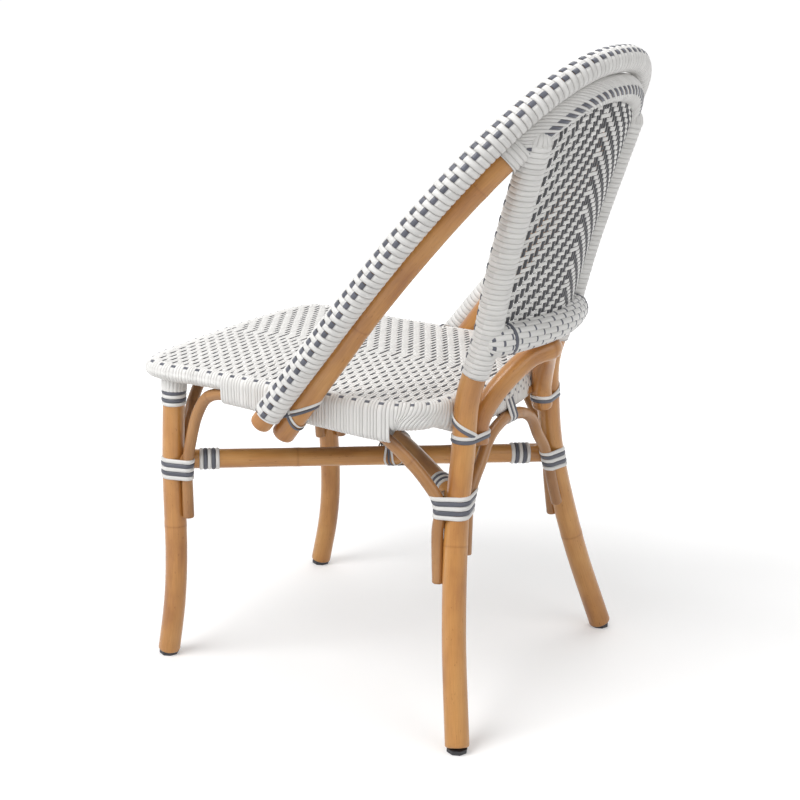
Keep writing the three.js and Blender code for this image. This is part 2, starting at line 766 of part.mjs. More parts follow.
function panelSolid() {
  const front = [];
  const back = [];
  const delta = 0.02;
  for (let row = 0; row <= panelRows; row += 1) {
    for (let column = 0; column <= panelColumns; column += 1) {
      const across = (2 * column) / panelColumns - 1;
      const up = row / panelRows;
      const point = panelPoint(across, up);
      const rightward = panelPoint(Math.min(1, across + delta), up);
      const leftward = panelPoint(Math.max(-1, across - delta), up);
      const higher = panelPoint(across, Math.min(1, up + delta));
      const lower = panelPoint(across, Math.max(0, up - delta));
      const normal = new THREE.Vector3().crossVectors(higher.sub(lower), rightward.sub(leftward)).normalize();
      front.push(point.clone().addScaledVector(normal, -panelThickness / 2));
      back.push(point.clone().addScaledVector(normal, panelThickness / 2));
    }
  }
  return sheetSolid(front, back, panelColumns, panelRows);
}

// A closed body between two grids of points
function sheetSolid(front, back, columns, rows) {
  const positions = [];
  const at = (grid, [column, row]) => grid[row * (columns + 1) + column];
  const quad = (...corners) => {
    const [a, b, c, d] = corners.map(([grid, ...cell]) => at(grid, cell).toArray());
    positions.push(...a, ...b, ...c, ...a, ...c, ...d);
  };
  for (let row = 0; row < rows; row += 1) {
    for (let column = 0; column < columns; column += 1) {
      const right = column + 1;
      const up = row + 1;
      quad([front, column, row], [front, right, row], [front, right, up], [front, column, up]);
      quad([back, column, row], [back, column, up], [back, right, up], [back, right, row]);
    }
  }
  for (let row = 0; row < rows; row += 1) {
    const up = row + 1;
    quad([front, 0, row], [front, 0, up], [back, 0, up], [back, 0, row]);
    quad([front, columns, row], [back, columns, row], [back, columns, up], [front, columns, up]);
  }
  for (let column = 0; column < columns; column += 1) {
    const right = column + 1;
    quad([front, column, 0], [back, column, 0], [back, right, 0], [front, right, 0]);
    quad([front, column, rows], [front, right, rows], [back, right, rows], [back, column, rows]);
  }
  const geometry = new THREE.BufferGeometry();
  geometry.setAttribute('position', new THREE.Float32BufferAttribute(positions, 3));
  return solidOf(geometry);
}

add('back_panel', panelSolid(), wovenStrand);
cut('back_panel', innerCover, innerCore, postCovers.left, postCovers.right, backRailCover);
cut('back_panel', postCores.left, postCores.right);

// Crossed stretchers: the one that starts high passes over the other
const crossing = new THREE.Vector3();
const stretcherRoutes = {};
{
  const frontLeft = pointAt(frontRoutes.left, 'z', lowStretcherHeight + frontStretcherLift);
  const rearRight = pointAt(postRoutes.right, 'z', lowStretcherHeight + rearStretcherLift);
  const frontRight = pointAt(frontRoutes.right, 'z', highStretcherHeight);
  const rearLeft = pointAt(postRoutes.left, 'z', highStretcherHeight + rearStretcherLift);
  stretcherRoutes.low = new THREE.LineCurve3(frontLeft, rearRight);
  crossing.copy(stretcherRoutes.low.getPointAt(shareAt(stretcherRoutes.low, 'x', 0)));
  const over = crossing.clone();
  over.z += 2 * stretcherRadius + gap;
  const quarter = (end) => (
    end.clone().lerp(over, 0.5).setZ(THREE.MathUtils.lerp(end.z, over.z, stretcherBowShare)));
  stretcherRoutes.high = routeThrough([rearLeft, quarter(rearLeft), over, quarter(frontRight), frontRight]);
}
add('stretcher_low', pole(stretcherRoutes.low, stretcherRadius, 1), rattan);
add('stretcher_high', pole(stretcherRoutes.high, stretcherRadius, stretcherSteps), rattan);
for (const hand of Object.keys(sides)) {
  cut('stretcher_low', legCores[hand], postCores[hand]);
  cut('stretcher_high', legCores[hand], postCores[hand]);
}

// Lashings round each leg, its arches and the end of its stretcher
const upright = new THREE.Vector3(0, 0, 1);

function prismAround(winding, distance, height) {
  const shape = new THREE.Shape(outlineAround(winding.marks, distance, 2 * turnSteps));
  const geometry = new THREE.ExtrudeGeometry(shape, { steps: 1, depth: height, bevelEnabled: false });
  const { u, v, normal, origin } = winding.frame;
  const placed = new THREE.Matrix4().makeBasis(u, v, normal);
  placed.setPosition(origin.clone().addScaledVector(normal, -height / 2));
  return solidOf(geometry.applyMatrix4(placed));
}

function lashLeg(name, leg, radius, others, height, stretcher) {
  const lashing = winding(name, {
    origin: pointAt(leg, 'z', height),
    normal: upright,
    poles: [{ curve: leg, radius }, ...others.map((curve) => ({ curve, radius: archRadius }))],
    strand: lashStrand,
    pitch: lashPitch,
    turns: lashTurns,
    material: whiteStrand,
  });
  const reach = 2 * lashStrand + 2 * gap;
  cut(stretcher, prismAround(lashing, reach, lashTurns * lashPitch + 2 * reach));
}

for (const hand of Object.keys(sides)) {
  const low = hand === 'left' ? 'stretcher_low' : 'stretcher_high';
  const high = hand === 'left' ? 'stretcher_high' : 'stretcher_low';
  lashLeg(`lashing_front_${hand}`, frontRoutes[hand], frontLegRadius, [sideArchRoutes[hand], frontArchRoute],
    frontLash[hand], low);
  lashLeg(`lashing_rear_${hand}`, postRoutes[hand], postRadius, [sideArchRoutes[hand], rearArchRoute],
    rearLash[hand], high);
}

// Bindings round the stretcher ends, just clear of the leg lashings

function bindEnd(name, route, setBack, fromStart) {
  const share = setBack / route.getLength();
  const at = fromStart ? share : 1 - share;
  winding(name, {
    origin: route.getPointAt(at),
    normal: route.getTangentAt(at),
    poles: [{ curve: route, radius: stretcherRadius }],
    strand: endStrand,
    pitch: endPitch,
    turns: endTurns,
    material: greyStrand,
    steps: roundTurnSteps,
  });
}

bindEnd('end_binding_front_left', stretcherRoutes.low, frontEndSetBack, true);
bindEnd('end_binding_rear_right', stretcherRoutes.low, rearEndSetBack, false);
bindEnd('end_binding_rear_left', stretcherRoutes.high, rearEndSetBack, true);
bindEnd('end_binding_front_right', stretcherRoutes.high, frontEndSetBack, false);

// Lashing where the stretchers cross
winding('crossing_lashing', {
  origin: crossing.clone().setZ(crossing.z + stretcherRadius),
  normal: new THREE.Vector3(0, 1, 0),
  poles: [stretcherRoutes.low, stretcherRoutes.high].map((curve) => ({ curve, radius: stretcherRadius })),
  strand: lashStrand,
  pitch: lashPitch,
  turns: crossTurns,
  material: whiteStrand,
});

// Bands round the tops of the front legs, under the seat cover
for (const hand of Object.keys(sides)) {
  winding(`leg_band_${hand}`, {
    origin: pointAt(frontRoutes[hand], 'z', legBandHeight),
    normal: upright,
    poles: [{ curve: frontRoutes[hand], radius: frontLegRadius }],
    strand: endStrand,
    pitch: legBandPitch,
    turns: legBandTurns,
    material: whiteStrand,
    steps: roundTurnSteps,
  });
}

// Straps round each post and brace leg
for (const hand of Object.keys(sides)) {
  winding(`post_strap_${hand}`, {
    origin: pointAt(postRoutes[hand], 'z', seatRailHeight - strapDrop),
    normal: upright,
    poles: [{ curve: postRoutes[hand], radius: postRadius }, { curve: braceRoute, radius: braceRadius }],
    strand: strapStrand,
    pitch: strapPitch,
    turns: strapTurns,
    material: whiteStrand,
  });
}

// Strap that holds the top of the rear arch under the rear rail
const rearCoverRadius = rearRailRadius + rearCoverThickness;
const archStrap = winding('rear_arch_strap', {
  origin: rearArchTop.clone().lerp(new THREE.Vector3(0, rearRailBack, rearRailHeight), 0.5),
  normal: new THREE.Vector3(1, 0, 0),
  poles: [{ curve: rearRailRoute, radius: rearCoverRadius }, { curve: rearArchRoute, radius: archRadius }],
  strand: strapStrand,
  pitch: strapPitch,
  turns: archStrapTurns,
  material: greyStrand,
});

// Ties that hold each inner hoop end to the seat frame
const hoopTies = {};
for (const [hand, side] of Object.entries(sides)) {
  hoopTies[hand] = winding(`hoop_tie_${hand}`, {
    origin: hoopPoint(side * (outerStartHalfWidth - innerStartInset), hoopTieAlong, innerStartDrop),
    normal: new THREE.Vector3(0, 2, 1),
    poles: [
      { curve: innerRoute, radius: innerHoopRadius },
      { curve: seatRoute, radius: seatPoleRadius },
      { curve: sideArchRoutes[hand], radius: archRadius },
    ],
    strand: hoopTieStrand,
    pitch: hoopTiePitch,
    turns: hoopTieTurns,
    material: greyStrand,
  });
  cut('outer_hoop_wrap', hoopTies[hand].space);
  cut('outer_hoop', hoopTies[hand].space);
}

// Seat cover: the woven top, the wrapped rails and the bound arches in one piece
const seatCoverRadius = seatPoleRadius + seatCoverThickness;

function seatSlab() {
  const outline = [];
  for (let k = 0; k < seatOutlineSteps; k += 1) {
    outline.push(seatRoute.getPointAt((k + 0.5) / seatOutlineSteps));
  }
  const middle = new THREE.Vector3(0, seatMiddleShare * halfDepth, 0);
  const rimTop = seatRailHeight + seatCoverRadius - seatRimDrop;
  const level = (share) => rimTop + seatDome * (1 - share * share);
  const row = (share, drop) => outline.map(({ x, y }) => new THREE.Vector3(
    THREE.MathUtils.lerp(middle.x, x, share), THREE.MathUtils.lerp(middle.y, y, share), level(share) - drop));
  const top = seatRowShares.map((share) => row(share, 0));
  const bottom = [...seatRowShares].reverse().map((share) => row(share, seatThickness));
  const peak = middle.clone().setZ(level(0));
  return solidOf(loft([...top, ...bottom], peak, peak.clone().setZ(peak.z - seatThickness)));
}

// A wall that stands on a route, up to a height
function skirt(curve, halfThickness, top) {
  const rows = [];
  for (let k = 0; k <= railSteps; k += 1) {
    const point = curve.getPointAt(k / railSteps);
    const across = curve.getTangentAt(k / railSteps).cross(upright).normalize();
    const near = point.clone().addScaledVector(across, -halfThickness);
    const far = point.clone().addScaledVector(across, halfThickness);
    rows.push([near, far, far.clone().setZ(top), near.clone().setZ(top)]);
  }
  return solidOf(loft(rows));
}

const buttPoint = seatRoute.getPointAt(0).setX(0);
const buttRoute = new THREE.LineCurve3(buttPoint.clone().setX(-buttSpace), buttPoint.clone().setX(buttSpace));
let cover = seatSlab().add(pole(seatRoute, seatCoverRadius, seatSteps));
cover = cover.add(pole(buttRoute, seatCoverRadius + gap, 1, 2 * poleSides));
const seatCore = pole(seatRoute, seatPoleRadius + gap, seatSteps, poleSides, edgeTurn)
  .add(pole(buttRoute, seatPoleRadius + 2 * gap, 1, 2 * poleSides));
const rearCoverRoute = stretch(rearRailRoute, rearCoverEndShare, 1 - rearCoverEndShare, railSteps);
cover = cover.add(pole(rearCoverRoute, rearCoverRadius, railSteps));
cover = cover.add(skirt(rearCoverRoute, seatPoleRadius, seatRailHeight));
for (const hand of Object.keys(sides)) {
  const arch = sideArchRoutes[hand];
  const bound = stretch(arch, shareAt(arch, 'y', bindingFrontShare * halfDepth, 0, 0.5),
    shareAt(arch, 'y', bindingRearShare * halfDepth, 0.3, 1), 12);
  cover = cover.add(pole(bound, archRadius + archCoverThickness, railSteps));
  const leg = frontRoutes[hand];
  const capped = stretch(leg, shareAt(leg, 'z', legBandHeight + legCoverStep),
    shareAt(leg, 'z', seatRailHeight - gap), 3);
  cover = cover.add(pole(capped, frontLegRadius + legCoverThickness, 2));
}
const aboveSeat = box(
  new THREE.Vector3(-3 * halfWidth, -3 * halfDepth, seatRailHeight),
  new THREE.Vector3(3 * halfWidth, 3 * halfDepth, 2 * seatRailHeight),
);
add('seat_cover', cover, wovenStrand);
cut('seat_cover',
  seatCore,
  pole(rearRailRoute, rearRailRadius + gap, railSteps),
  pole(frontArchRoute, archRadius + gap, archSteps, thinSides),
  pole(rearArchRoute, archRadius + gap, archSteps, thinSides),
  postCores.left, postCores.right, braceCore, innerCore, outerCover, outerCore,
  archStrap.space, hoopTies.left.space, hoopTies.right.space);
for (const hand of Object.keys(sides)) {
  cut('seat_cover', pole(sideArchRoutes[hand], archRadius + gap, archSteps, thinSides));
  cut('seat_cover', legCores[hand].subtract(aboveSeat));
}

// Pins that hold the poles together under the lashings
function pin(name, from, to, ...held) {
  const along = new THREE.Vector3().subVectors(to, from);
  const turned = new THREE.Quaternion().setFromUnitVectors(upright, along.clone().normalize());
  const middle = from.clone().lerp(to, 0.5);
  const rod = (radius, length) => {
    const geometry = new THREE.CylinderGeometry(radius, radius, length, pinSides).rotateX(Math.PI / 2);
    return solidOf(geometry.applyQuaternion(turned).translate(middle.x, middle.y, middle.z));
  };
  add(name, rod(pinRadius, along.length()), steel);
  for (const piece of held) {
    cut(piece, rod(pinRadius + gap, along.length() + 2 * gap));
  }
}

for (const [hand, side] of Object.entries(sides)) {
  const legTop = pointAt(frontRoutes[hand], 'z', seatRailHeight - seatPoleRadius);
  const cornerX = side * cornerShare * halfWidth;
  const onLeg = legTop.clone().setX(THREE.MathUtils.lerp(legTop.x, cornerX, seatPinShare));
  pin(`seat_pin_${hand}`, onLeg.clone().setZ(onLeg.z - pinReach), onLeg.clone().setZ(onLeg.z + shortPinReach),
    `front_leg_${hand}`, 'seat_frame_hoop');

  const post = postRoutes[hand];
  const railEnd = backRailPoint(side);
  const inRail = backRailPoint(side * (1 - (postRadius + pinReach) / backRailEnd.x));
  const inRailEnd = inRail.clone().lerp(railEnd, 1 - postRadius / 2 / inRail.distanceTo(railEnd));
  pin(`rail_pin_${hand}`, inRail, inRailEnd, 'lower_back_rail', `rear_post_${hand}`);

  const postTop = pointAt(post, 'z', post.getPointAt(1).z - postPinDrop);
  const inHoop = innerRoute.getPointAt(shareAt(innerRoute, 'x', postTop.x, 0.2, 0.8));
  pin(`hoop_pin_${hand}`, postTop, inHoop, `rear_post_${hand}`, `rear_post_wrap_${hand}`,
    'inner_hoop_wrap', 'inner_hoop');

  const bracePinHeight = seatRailHeight - bracePinDrop;
  const bracePoint = pointAt(braceRoute, 'z', bracePinHeight);
  const beyond = bracePoint.clone().setX(side * Math.abs(bracePoint.x));
  const inPost = pointAt(post, 'z', bracePinHeight);
  pin(`brace_pin_${hand}`, beyond, beyond.clone().lerp(inPost, 0.8), 'back_brace_arch', `rear_post_${hand}`);
}

pin('seat_butt_pin', buttPoint.clone().setX(-pinReach), buttPoint.clone().setX(pinReach), 'seat_frame_hoop');
pin('crossing_pin', crossing.clone().setZ(crossing.z - shortPinReach),
  crossing.clone().setZ(crossing.z + 2 * stretcherRadius + shortPinReach), 'stretcher_low', 'stretcher_high');

// The chair as named parts, set so that its box is centred on the origin
const chair = new THREE.Group();
const body = new THREE.Group();
for (const [name, { solid, material }] of pieces) {
  const { vertProperties, triVerts } = solid.getMesh();
  const geometry = new THREE.BufferGeometry();
  geometry.setAttribute('position', new THREE.Float32BufferAttribute(vertProperties, 3));
  geometry.setIndex(new THREE.BufferAttribute(new Uint32Array(triVerts), 1));
  const mesh = new THREE.Mesh(geometry, material);
  mesh.name = name;
  body.add(mesh);
}
const reach = new THREE.Box3().setFromObject(body);
body.position.y = -(reach.min.y + reach.max.y) / 2;
chair.add(body);

const [tightest, least] = [...selfGaps].sort((a, b) => a[1] - b[1])[0];
console.log(`least self-gap of the wound strands: ${least.toFixed(3)} mm at ${tightest}`);

export default chair;
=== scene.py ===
"""Looks of a rattan bistro chair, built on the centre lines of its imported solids.

Lengths below are millimetres in the frame of the solids, and meshes are made in metres.
The sitter faces -Y, the left hand is +X, +Z is up and the floor is z = 0."""
import math
import bpy
import numpy as np
from mathutils import Matrix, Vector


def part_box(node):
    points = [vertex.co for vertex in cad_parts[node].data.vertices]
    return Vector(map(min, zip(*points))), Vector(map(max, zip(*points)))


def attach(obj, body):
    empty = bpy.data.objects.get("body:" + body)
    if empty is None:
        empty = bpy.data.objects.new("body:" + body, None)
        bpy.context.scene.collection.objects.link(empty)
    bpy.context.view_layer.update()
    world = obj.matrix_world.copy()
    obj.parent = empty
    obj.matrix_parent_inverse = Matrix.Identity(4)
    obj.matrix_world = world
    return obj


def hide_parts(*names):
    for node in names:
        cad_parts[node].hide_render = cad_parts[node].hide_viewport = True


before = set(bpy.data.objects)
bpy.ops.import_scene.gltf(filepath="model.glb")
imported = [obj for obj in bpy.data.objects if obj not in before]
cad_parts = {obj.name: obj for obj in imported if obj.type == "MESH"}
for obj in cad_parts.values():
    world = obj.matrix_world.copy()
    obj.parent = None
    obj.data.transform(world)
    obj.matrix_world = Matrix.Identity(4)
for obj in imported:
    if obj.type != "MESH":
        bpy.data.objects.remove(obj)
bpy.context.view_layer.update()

# Driving sizes: the seat pole's half width, half depth and height, and the back's height over it
HALF_WIDTH, HALF_DEPTH, RAIL, BACK = 200, 250, 427, 427
GAP = 0.3
POST_R, LEG_R, SEAT_R, REAR_RAIL_R, ARCH_R = 16, 15.5, 9, 9.5, 8
STRETCHER_R, BRACE_R, OUTER_R, INNER_R, BACK_RAIL_R = 13.5, 14.5, 14.5, 15.6, 15
SEAT_COVER, REAR_COVER, RAIL_COVER = 2, 2.5, 5.5
LEG_BOTTOM, GLIDE_HIGH = 6.5, 6
LEAN = math.radians(52.34)
HOOP_BACK, HOOP_UP, ARM, TOP_RUN = -53.5, RAIL - 15.1, 181.5, 394.7
HOOP_HALF, HOOP_START_HALF, HOOP_POWER = 248.6, 245.3, 2.4
BARE_TIP, INNER_TIP = 23, 24
INNER_DROP, INNER_TOP, INNER_SIDE, INNER_START, INNER_START_DROP = 17.5, 31.6, 28.8, 22.2, 26
LOW_LASH, HIGH_LASH = RAIL - 139, RAIL - 126
LASH = {("front", 1): LOW_LASH, ("front", -1): HIGH_LASH,
        ("rear", 1): HIGH_LASH, ("rear", -1): LOW_LASH}
FOOT_DROP = 71
ARCH_TOP = RAIL - SEAT_R - SEAT_COVER - ARCH_R - GAP
BACK_RAIL_Z, BACK_BOW, BACK_RISE, BACK_SET = RAIL + 92.5, 31, 4, 8

# Rows of x, y and z, as shares of the half width, the half depth and the heights of seat and back
POST_SHARES = [(1.15, 0.924, 0), (0.93, 0.788, 0.34), (0.73, 0.7, 0.679), (0.64, 0.686, 0.87),
               (0.607, 0.688, 1.03), (0.612, 0.782, 1.218), (0.652, 0.872, 1.452), (0.708, 1.058, 1.83)]
LEG_SHARES = [(1.004, -1.05, 0), (1.012, -0.992, 0.2), (1.008, -0.976, 0.36), (0.98, -1, 0.7),
              (0.945, -1.002, 1)]
SEAT_SHARES = [(0, -1.192), (0.45, -1.184), (0.85, -1.16), (0.98, -1.118), (1.02, -1), (1, -0.8),
               (0.985, -0.4), (0.978, 0), (0.968, 0.28), (0.93, 0.42), (0.84, 0.515), (0.66, 0.562),
               (0.3, 0.615), (0, 0.632)]
# Arches: their tops as shares of the seat, and the shares of the way and the rise from knee to top
SIDE_TOP_SHARES = [(0.99, -0.65), (0.985, -0.3), (0.98, 0.05), (0.974, 0.26)]
SIDE_FRONT_SHARES = [(0.13, 0.37), (0.32, 0.7), (0.59, 0.92)]
SIDE_REAR_SHARES = [(0.2, 0.34), (0.5, 0.68), (0.78, 0.92)]
FRONT_ARCH_SHARES = [(0.08, 0.45), (0.3, 0.82), (0.62, 0.97)]
REAR_ARCH_SHARES = [(0.13, 0.27), (0.29, 0.5), (0.445, 0.77), (0.6, 0.9), (0.8, 0.975)]
BRACE_SHARES = [(0.14, 0.3), (0.4, 0.64), (0.72, 0.92)]

SIDE_WAY, BACK_WAY, UP = np.eye(3)
HOOP_NORMAL = np.array((0, -math.sin(LEAN), math.cos(LEAN)))
SIDES = {"left": 1, "right": -1}


def unit(v):
    return v / np.linalg.norm(v, axis=-1, keepdims=True)


def vec(*xyz):
    return np.array(xyz, float)


ROUTE_STEPS, ALONG_STEP = 24, 2.0


class Route:
    """A smooth curve through points, walked by its length."""

    def __init__(self, points):
        pts = np.array(points, float)
        full = np.vstack([2 * pts[0] - pts[1], pts, 2 * pts[-1] - pts[-2]])
        t = (np.arange(ROUTE_STEPS) / ROUTE_STEPS)[:, None]
        rows = []
        for p0, p1, p2, p3 in zip(full, full[1:], full[2:], full[3:]):
            d0, d1, d2 = (max(np.linalg.norm(b - a), 1e-6) ** 0.5
                          for a, b in ((p0, p1), (p1, p2), (p2, p3)))
            m1 = ((p1 - p0) / d0 - (p2 - p0) / (d0 + d1) + (p2 - p1) / d1) * d1
            m2 = ((p2 - p1) / d1 - (p3 - p1) / (d1 + d2) + (p3 - p2) / d2) * d1
            squared = 3 * (p2 - p1) - 2 * m1 - m2
            cubed = 2 * (p1 - p2) + m1 + m2
            rows.append(p1 + m1 * t + squared * t ** 2 + cubed * t ** 3)
        self.p = np.vstack(rows + [pts[-1:]])
        steps = np.linalg.norm(np.diff(self.p, axis=0), axis=1)
        self.s = np.concatenate([[0], np.cumsum(steps)])
        self.length = self.s[-1]

    def at(self, s):
        s = np.asarray(s, float)
        inside = np.clip(s, 0, self.length)
        point = np.stack([np.interp(inside, self.s, self.p[:, k]) for k in range(3)], -1)
        first = unit(self.p[1] - self.p[0])
        last = unit(self.p[-1] - self.p[-2])
        before, beyond = np.minimum(s, 0), np.maximum(s - self.length, 0)
        return point + before[..., None] * first + beyond[..., None] * last

    def along(self, s):
        return unit(self.at(np.asarray(s) + ALONG_STEP) - self.at(np.asarray(s) - ALONG_STEP))

    def find(self, axis, value, low=0.0, high=1.0):
        """Length to the first point between two shares where a coordinate has the value."""
        shares = np.linspace(low, high, 401)
        off = self.at(shares * self.length)[:, axis] - value
        hits = np.nonzero(off[:-1] * off[1:] <= 0)[0]
        if len(hits):
            return shares[hits[0] + 1] * self.length
        return (low if abs(off[0]) < abs(off[-1]) else high) * self.length

    def point(self, axis, value):
        return self.at(self.find(axis, value))


# Centre lines of the poles

def place(side, x, y, z):
    return vec(side * x * HALF_WIDTH, y * HALF_DEPTH, min(z, 1) * RAIL + max(z - 1, 0) * BACK)


posts = {side: Route([place(side, *row) for row in POST_SHARES]) for side in (1, -1)}
legs = {side: Route([place(side, *row) for row in LEG_SHARES]) for side in (1, -1)}
seat_points = [vec(-x * HALF_WIDTH, y * HALF_DEPTH, RAIL) for x, y in reversed(SEAT_SHARES)]
seat_points += [vec(x * HALF_WIDTH, y * HALF_DEPTH, RAIL) for x, y in SEAT_SHARES[1:]]
seat_loop = Route(seat_points)
rear_rail = Route([vec(122 * t, 158 + 2 * (1 - t * t), RAIL - 25) for t in (-1, -0.6, 0, 0.6, 1)])


def beside(route, height, outward, back, distance):
    return route.point(2, height) + unit(vec(outward, back, 0)) * distance


def bend(knee, top, along, up):
    point = knee + (top - knee) * along
    point[2] = knee[2] + up * (top[2] - knee[2])
    return point


side_arches = {}
for side in (1, -1):
    front_h, rear_h = LASH["front", side], LASH["rear", side]
    front_d, rear_d = LEG_R + ARCH_R + GAP, POST_R + ARCH_R + GAP
    tops = [vec(side * x * HALF_WIDTH, y * HALF_DEPTH, ARCH_TOP - 0.042 * HALF_DEPTH * (y + 0.65))
            for x, y in SIDE_TOP_SHARES]
    knee = beside(legs[side], front_h, 0, 1, front_d)
    rear_knee = beside(posts[side], rear_h, side, -1, rear_d)
    side_arches[side] = Route(
        [beside(legs[side], front_h - drop, 0, 1, front_d) for drop in (FOOT_DROP, FOOT_DROP / 2)]
        + [knee] + [bend(knee, tops[0], *row) for row in SIDE_FRONT_SHARES] + tops
        + [bend(rear_knee, tops[3], *row) for row in reversed(SIDE_REAR_SHARES)] + [rear_knee]
        + [beside(posts[side], rear_h - FOOT_DROP / 2, 0.6 * side, -1, rear_d),
           beside(posts[side], rear_h - 1.45 * FOOT_DROP, 0, -1, rear_d)])


def arch_between(routes, radius, end, turn, top, shares):
    def half(side):
        spots = [beside(routes[side], LASH[end, side] - drop, -side, turn, radius + ARCH_R + GAP)
                 for drop in (FOOT_DROP, FOOT_DROP / 2, 0)]
        return spots + [bend(spots[2], top, *row) for row in shares]
    return Route(half(-1) + [top] + half(1)[::-1])


arch_step = REAR_RAIL_R + REAR_COVER + ARCH_R + GAP
front_arch = arch_between(legs, LEG_R, "front", 0, vec(0, -1.155 * HALF_DEPTH, ARCH_TOP),
                          FRONT_ARCH_SHARES)
rear_arch = arch_between(posts, POST_R, "rear", 0.1,
                         vec(0, 172, RAIL - 25 - math.sqrt(arch_step ** 2 - 144)), REAR_ARCH_SHARES)


def hoop_point(x, along, below):
    return vec(x, HOOP_BACK + along * math.cos(LEAN) + below * math.sin(LEAN),
               HOOP_UP + along * math.sin(LEAN) - below * math.cos(LEAN))


def hoop_route(tip, start_half, half, run, start_below, below):
    one = []
    for t in np.linspace(0, 1, 6):
        one.append((start_half + (half - start_half) * t, -tip + t * (ARM + tip),
                    start_below + (below - start_below) * t))
    for k in range(1, 15):
        angle = math.pi / 2 * k / 14
        x = 0 if k == 14 else half * math.cos(angle) ** (2 / HOOP_POWER)
        one.append((x, ARM + run * math.sin(angle) ** (2 / HOOP_POWER), below))
    return Route([hoop_point(-x, a, b) for x, a, b in one[:-1]]
                 + [hoop_point(*row) for row in one[::-1]])


outer_hoop = hoop_route(BARE_TIP, HOOP_START_HALF, HOOP_HALF, TOP_RUN, 0, 0)
inner_hoop = hoop_route(INNER_TIP, HOOP_START_HALF - INNER_START, HOOP_HALF - INNER_SIDE,
                        TOP_RUN - INNER_TOP, INNER_START_DROP, INNER_DROP)
rail_end = posts[1].point(2, BACK_RAIL_Z) + vec(0, BACK_SET, 0)


def rail_point(share):
    bow = 1 - share * share
    return vec(share * rail_end[0], rail_end[1] + BACK_BOW * bow, BACK_RAIL_Z + BACK_RISE * bow)


back_rail = Route([rail_point(2 * k / 9 - 1) for k in range(10)])
brace_step = BACK_RAIL_R + RAIL_COVER + BRACE_R + GAP
brace_top = rail_point(0) - vec(0, 5, math.sqrt(brace_step ** 2 - 25))


def brace_half(side):
    spots = [beside(posts[side], RAIL - drop, -side, 0.16, POST_R + BRACE_R + GAP)
             for drop in (69, 51, 24)]
    return spots + [bend(spots[2], brace_top, *row) for row in BRACE_SHARES]


brace = Route(brace_half(-1) + [brace_top] + brace_half(1)[::-1])
stretcher_low = Route([legs[1].point(2, LOW_LASH + 9), posts[-1].point(2, LOW_LASH + 3)])
crossing = stretcher_low.point(0, 0)
over = crossing + vec(0, 0, 2 * STRETCHER_R + GAP)
high_ends = [posts[1].point(2, HIGH_LASH + 3), legs[-1].point(2, HIGH_LASH)]


def quarter(end):
    return np.append((end + over)[:2] / 2, end[2] + (over[2] - end[2]) * 0.62)


stretcher_high = Route([high_ends[0], quarter(high_ends[0]), over, quarter(high_ends[1]), high_ends[1]])

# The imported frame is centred, so its middle lies a little in front of the routes' own
glide_low, glide_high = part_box("glide_rear_left")
glide_y = (glide_low[1] + glide_high[1]) * 500
SHIFT = vec(0, glide_y - posts[1].point(2, GLIDE_HIGH)[1], 0)


# Materials

class Tree:
    """Nodes of a material, or of the world."""

    def __init__(self, owner):
        owner.use_nodes = True
        self.nodes, self.links = owner.node_tree.nodes, owner.node_tree.links

    def add(self, kind, output, inputs, **settings):
        """Add a node whose inputs are values or other nodes' outputs, and return one of its outputs."""
        node = self.nodes.new("ShaderNode" + kind)
        for name, value in settings.items():
            setattr(node, name, value)
        for name, value in inputs.items():
            if isinstance(value, bpy.types.NodeSocket):
                self.links.new(value, node.inputs[name])
            else:
                node.inputs[name].default_value = value
        return node.outputs[output]

    def attribute(self, name, output):
        return self.add("Attribute", output, {}, attribute_name=name)

    def noise(self, source, scale, stretch, detail):
        stretched = self.add("Mapping", "Vector", {"Vector": source, "Scale": stretch})
        return self.add("TexNoise", "Fac", {"Vector": stretched, "Scale": scale, "Detail": detail})

    def ramp(self, source, *stops):
        colour = self.add("ValToRGB", "Color", {"Fac": source})
        elements = colour.node.color_ramp.elements
        while len(elements) < len(stops):
            elements.new(0.5)
        for element, (place_at, value) in zip(elements, stops):
            element.position = place_at
            element.color = (*value, 1)
        return colour

    def multiply(self, factor, one, two):
        return self.add("Mix", "Result", {"Factor": factor, "A": one, "B": two},
                        data_type="RGBA", blend_type="MULTIPLY")

    def seen_directly(self):
        """1 for rays from the camera, mirrored rays and rays through glass, and 0 for the rest."""
        path = self.nodes.new("ShaderNodeLightPath")
        total = path.outputs["Is Camera Ray"]
        for name in ("Is Glossy Ray", "Is Transmission Ray"):
            total = self.add("Math", 0, {0: total, 1: path.outputs[name]}, operation="MAXIMUM")
        return total


def finished(name, make_colour, strength, distance, **values):
    """A material whose colour and relief come from make_colour, and its plain values from the rest."""
    material = bpy.data.materials.new(name)
    tree = Tree(material)
    shader = tree.nodes["Principled BSDF"]
    for key, value in values.items():
        shader.inputs[key.replace("_", " ")].default_value = value
    colour, height = make_colour(tree)
    tree.links.new(colour, shader.inputs["Base Color"])
    normal = tree.add("Bump", "Normal", {"Strength": strength, "Distance": distance, "Height": height})
    tree.links.new(normal, shader.inputs["Normal"])
    return material


PLAIN = (1, 1, 1)


